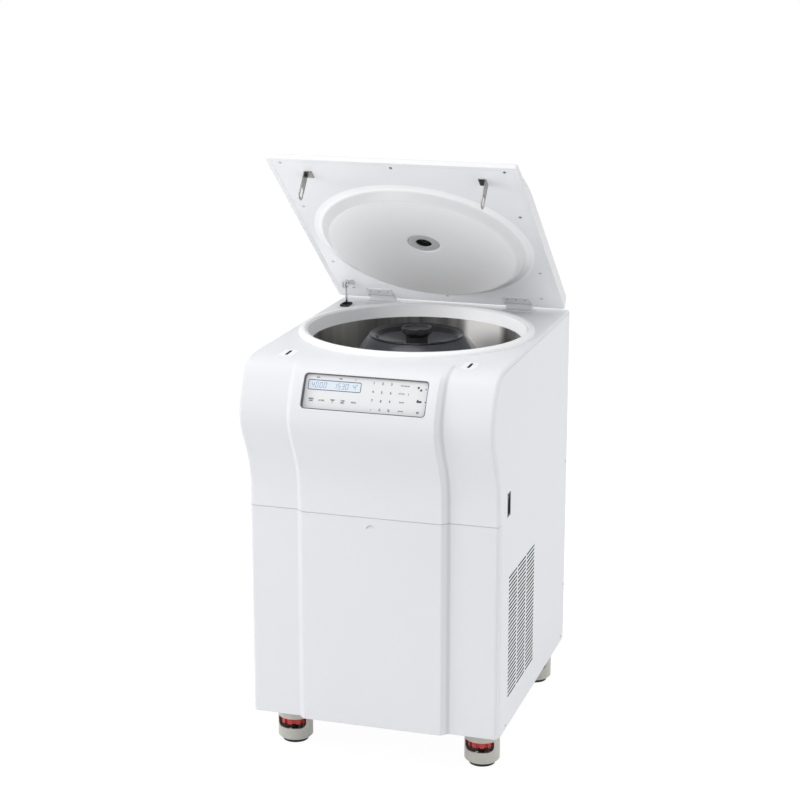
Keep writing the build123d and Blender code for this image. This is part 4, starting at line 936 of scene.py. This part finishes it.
def screws(name, body, places, head_radius=0.0031, head_rise=0.0012):
    """Cap screws at (point, outward direction) pairs, as one piece on a body."""
    mesh = bpy.data.meshes.new(name)
    mesh.from_pydata([point for point, _ in places], [], [])
    facing = mesh.attributes.new("facing", "FLOAT_VECTOR", "POINT")
    for row, (_, direction) in zip(facing.data, places):
        row.vector = direction
    carrier = bpy.data.objects.new(name, mesh)
    bpy.context.collection.objects.link(carrier)
    modifier = carrier.modifiers.new("screws", "NODES")
    modifier.node_group = cap_screws
    values = {
        "Head radius": head_radius, "Head rise": head_rise, "Socket radius": socket_share * head_radius,
    }
    for item in cap_screws.interface.items_tree:
        if item.name in values:
            modifier[item.identifier] = values[item.name]
    graph = bpy.context.evaluated_depsgraph_get()
    made = bpy.data.meshes.new_from_object(carrier.evaluated_get(graph))
    bpy.data.objects.remove(carrier)
    piece = bpy.data.objects.new(name, made)
    bpy.context.collection.objects.link(piece)
    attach(piece, body)
    print(name, len(places), "screws", len(made.polygons), "faces")


side_screws = ((-0.219, 0.110), (0.350, 0.115), (0.366, 0.249), (0.364, 0.573))
rear_screw_x, rear_screw_heights = 0.272, (0.14, 0.36, 0.58, 0.80)
screws("side_screws", "cabinet", [
    (Vector((side * side_x, y, z)), (side, 0, 0)) for side in (-1, 1) for y, z in side_screws
])
rear_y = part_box("rear_panel")[1].y
screws("rear_screws", "cabinet", [
    (Vector((side * rear_screw_x, rear_y, z)), (0, 1, 0)) for side in (-1, 1) for z in rear_screw_heights
])
hinge_x, hinge_spread = 0.174, 0.022
leaf_back, leaf_face = -31.0, -17.5
screws("hinge_screws", "lid", [
    (lid_point((side * hinge_x + offset * hinge_spread) / mm, leaf_back, leaf_face), -lid_up)
    for side in (-1, 1) for offset in (-1, 0, 1)
], 0.0026, 0.0008)

# %% [markdown]
# ## Dust filter behind the side slots
# Air for the condenser is drawn through the slots and a pleated black filter. The filter keeps the slots
# dark, so it matters more to the look than its size says. Its pleats are one zigzag line with a small
# thickness.

# %% Pleated filter
condenser_low, condenser_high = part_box("condenser")
inner_gap, outer_gap = 0.001, 0.0025
filter_inner = condenser_high.x + inner_gap
filter_depth = side_x - outer_gap - filter_inner
vent_middle, vent_half = 0.316, 0.153
pleat, valley, crest, paper = 0.0051, 0.45, 0.9, 0.0008

fold = []
for step in range(round(2 * vent_half / pleat) + 1):
    depth = valley if step % 2 else crest
    fold.append((filter_inner + filter_depth * depth, vent_middle - vent_half + step * pleat))
fold += [(x - paper, z) for x, z in reversed(fold)]

count = len(fold)
filter_points = [Vector((x, y, z)) for y in (condenser_low.y, condenser_high.y) for x, z in fold]
filter_faces = []
for i in range(count):
    after = (i + 1) % count
    filter_faces.append((i, after, count + after, count + i))
for start in (0, count):
    for i in range(count // 2 - 1):
        last = start + count - 1 - i
        filter_faces.append((start + i, start + i + 1, last - 1, last))
made = bmesh.new()
corners = [made.verts.new(point) for point in filter_points]
for face in filter_faces:
    made.faces.new([corners[i] for i in face])
bmesh.ops.recalc_face_normals(made, faces=made.faces)
filter_mesh = bpy.data.meshes.new("dust_filter")
made.to_mesh(filter_mesh)
made.free()
new_piece("dust_filter", filter_mesh, finish["black_rubber"], "cabinet")
print("filter", count // 2 - 1, "flanks,", round(filter_depth / mm, 1), "mm of room")

# %% [markdown]
# ## Floor
# A white machine in a white studio shows only by its soft shadows. The floor reads as white to the camera
# and to mirrors, while it still takes the machine's shadow, so it is a plain matt white mixed with a
# white glow that only those rays see.


# %% Floor
floor_half, floor_glow, floor_lit = 12.0, 1.07, 0.88


def studio_floor(name):
    paint = Painter(name)
    tree = paint.tree
    paths = tree.nodes.new("ShaderNodeLightPath")
    seen = Wire(paint, paths.outputs["Is Camera Ray"]) + Wire(paint, paths.outputs["Is Glossy Ray"])
    seen = seen + Wire(paint, paths.outputs["Is Transmission Ray"])
    glow = tree.nodes.new("ShaderNodeEmission")
    glow.inputs["Strength"].default_value = floor_glow
    paint.set(base_color=(0.9, 0.9, 0.9), roughness=0.9)
    mix = tree.nodes.new("ShaderNodeMixShader")
    paint.feed(mix.inputs[0], seen * floor_lit)
    tree.links.new(paint.shader.outputs[0], mix.inputs[1])
    tree.links.new(glow.outputs[0], mix.inputs[2])
    tree.links.new(mix.outputs[0], tree.nodes["Material Output"].inputs[0])
    return paint.material


floor_mesh = bpy.data.meshes.new("floor")
corners = [(-floor_half, -floor_half, 0), (floor_half, -floor_half, 0), (floor_half, floor_half, 0)]
floor_mesh.from_pydata(corners + [(-floor_half, floor_half, 0)], [], [(0, 1, 2, 3)])
floor = bpy.data.objects.new("floor", floor_mesh)
bpy.context.collection.objects.link(floor)
floor_mesh.materials.append(studio_floor("studio_floor"))
print("floor", 2 * floor_half, "m wide")

# %% [markdown]
# ## Sky
# The room gives a cool light, weakest from the horizon and about two thirds stronger from straight above
# and below. The camera sees plain white in its place.

# %% World
horizon_level, pole_gain = 0.62, 0.4
world = bpy.data.worlds.new("studio")
bpy.context.scene.world = world
world.use_nodes = True
sky = world.node_tree
paths = tree_node(sky, "ShaderNodeLightPath")
heading = tree_node(sky, "ShaderNodeTexCoord")
split = tree_node(sky, "ShaderNodeSeparateXYZ", {0: heading.outputs["Generated"]})
height = split.outputs["Z"]
rise = tree_node(sky, "ShaderNodeMath", {0: height, 1: height}, operation="MULTIPLY")
level = tree_node(
    sky, "ShaderNodeMath", {0: rise.outputs[0], 1: pole_gain, 2: horizon_level}, operation="MULTIPLY_ADD"
)
room = sky.nodes["Background"]
room.inputs["Color"].default_value = (0.97, 0.985, 1.0, 1)
sky.links.new(level.outputs[0], room.inputs["Strength"])
white = tree_node(sky, "ShaderNodeBackground", {"Color": (1, 1, 1, 1), "Strength": 1.0})
choice = tree_node(sky, "ShaderNodeMixShader", {
    0: paths.outputs["Is Camera Ray"], 1: room.outputs[0], 2: white.outputs[0],
})
sky.links.new(choice.outputs[0], sky.nodes["World Output"].inputs[0])

# %% [markdown]
# ## Lamps
# Three broad lamps light the whole machine: one overhead, one from the left and a weak one from the
# right. The lid's underside and the chamber turn away from them. A studio puts white cards near such
# places; here each card is a weak lamp that is linked to a few pieces, and where it has to, it shines
# through all others.


# %% Lamps
def soft_lamp(name, place, aim, size, power):
    """A square lamp, size metres wide, at a place and aimed at a point."""
    data = bpy.data.lights.new(name, "AREA")
    data.size = size
    data.energy = power
    lamp = bpy.data.objects.new(name, data)
    bpy.context.collection.objects.link(lamp)
    lamp.location = place
    lamp.rotation_euler = (Vector(aim) - Vector(place)).to_track_quat("-Z", "Y").to_euler()
    return lamp


soft_lamp("overhead", (-0.5, -1.3, 3.9), (0, 0, 0.9), 2.6, 30)
soft_lamp("left_key", (-3.4, -2.0, 1.7), (0, 0, 0.7), 1.6, 36)
soft_lamp("side_fill", (3.6, 1.2, 1.8), (0, 0, 0.6), 2.4, 14)


def card(name, place, aim, size, power, pieces, through=False):
    """A soft lamp kept to some pieces; through lets its light pass all the others."""
    lamp = soft_lamp(name, place, aim, size, power)
    chosen = bpy.data.collections.new("lit_by_" + name)
    for piece in pieces:
        chosen.objects.link(piece)
    lamp.light_linking.receiver_collection = chosen
    if through:
        lamp.light_linking.blocker_collection = chosen
    lamp.visible_camera = False


lid_plate, lid_shell = nodes["lid_inner_panel"], nodes["lid_shell"]
chamber = [nodes["ring_gasket"], nodes["chamber_bowl"]]
rotor_pieces = [nodes["rotor_body"], nodes["rotor_lid"], nodes["rotor_knob"]]
hinge_pieces = [nodes["hinge_leaves"], nodes["hinge_brackets"]]
card("lid_card", (-0.9, -1.9, 0.1), (0, 0.1, 1.15), 1.0, 11, [lid_plate, lid_shell, plug], True)
card("chamber_card", (-1.9, -1.5, 1.75), (0.15, 0.1, 0.92), 0.7, 34, chamber)
card("rotor_spark", (0.5, -1.6, 2.6), (0, 0.04, 0.9), 0.25, 5, rotor_pieces)
card("dish_card", (-1.3, -1.7, 0.2), (0.05, 0.1, 1.15), 1.0, 4, [plug], True)
card("ring_card", (-1.6, -2.6, 1.5), (0, 0, 0.95), 0.8, 16, [nodes["chamber_ring"]])
card("deck_bounce", (-0.12, 0.16, 0.975), (-0.12, 0.33, 1.1), 0.3, 0.13, [lid_plate, *hinge_pieces], True)
print("lamps", len(bpy.data.lights))
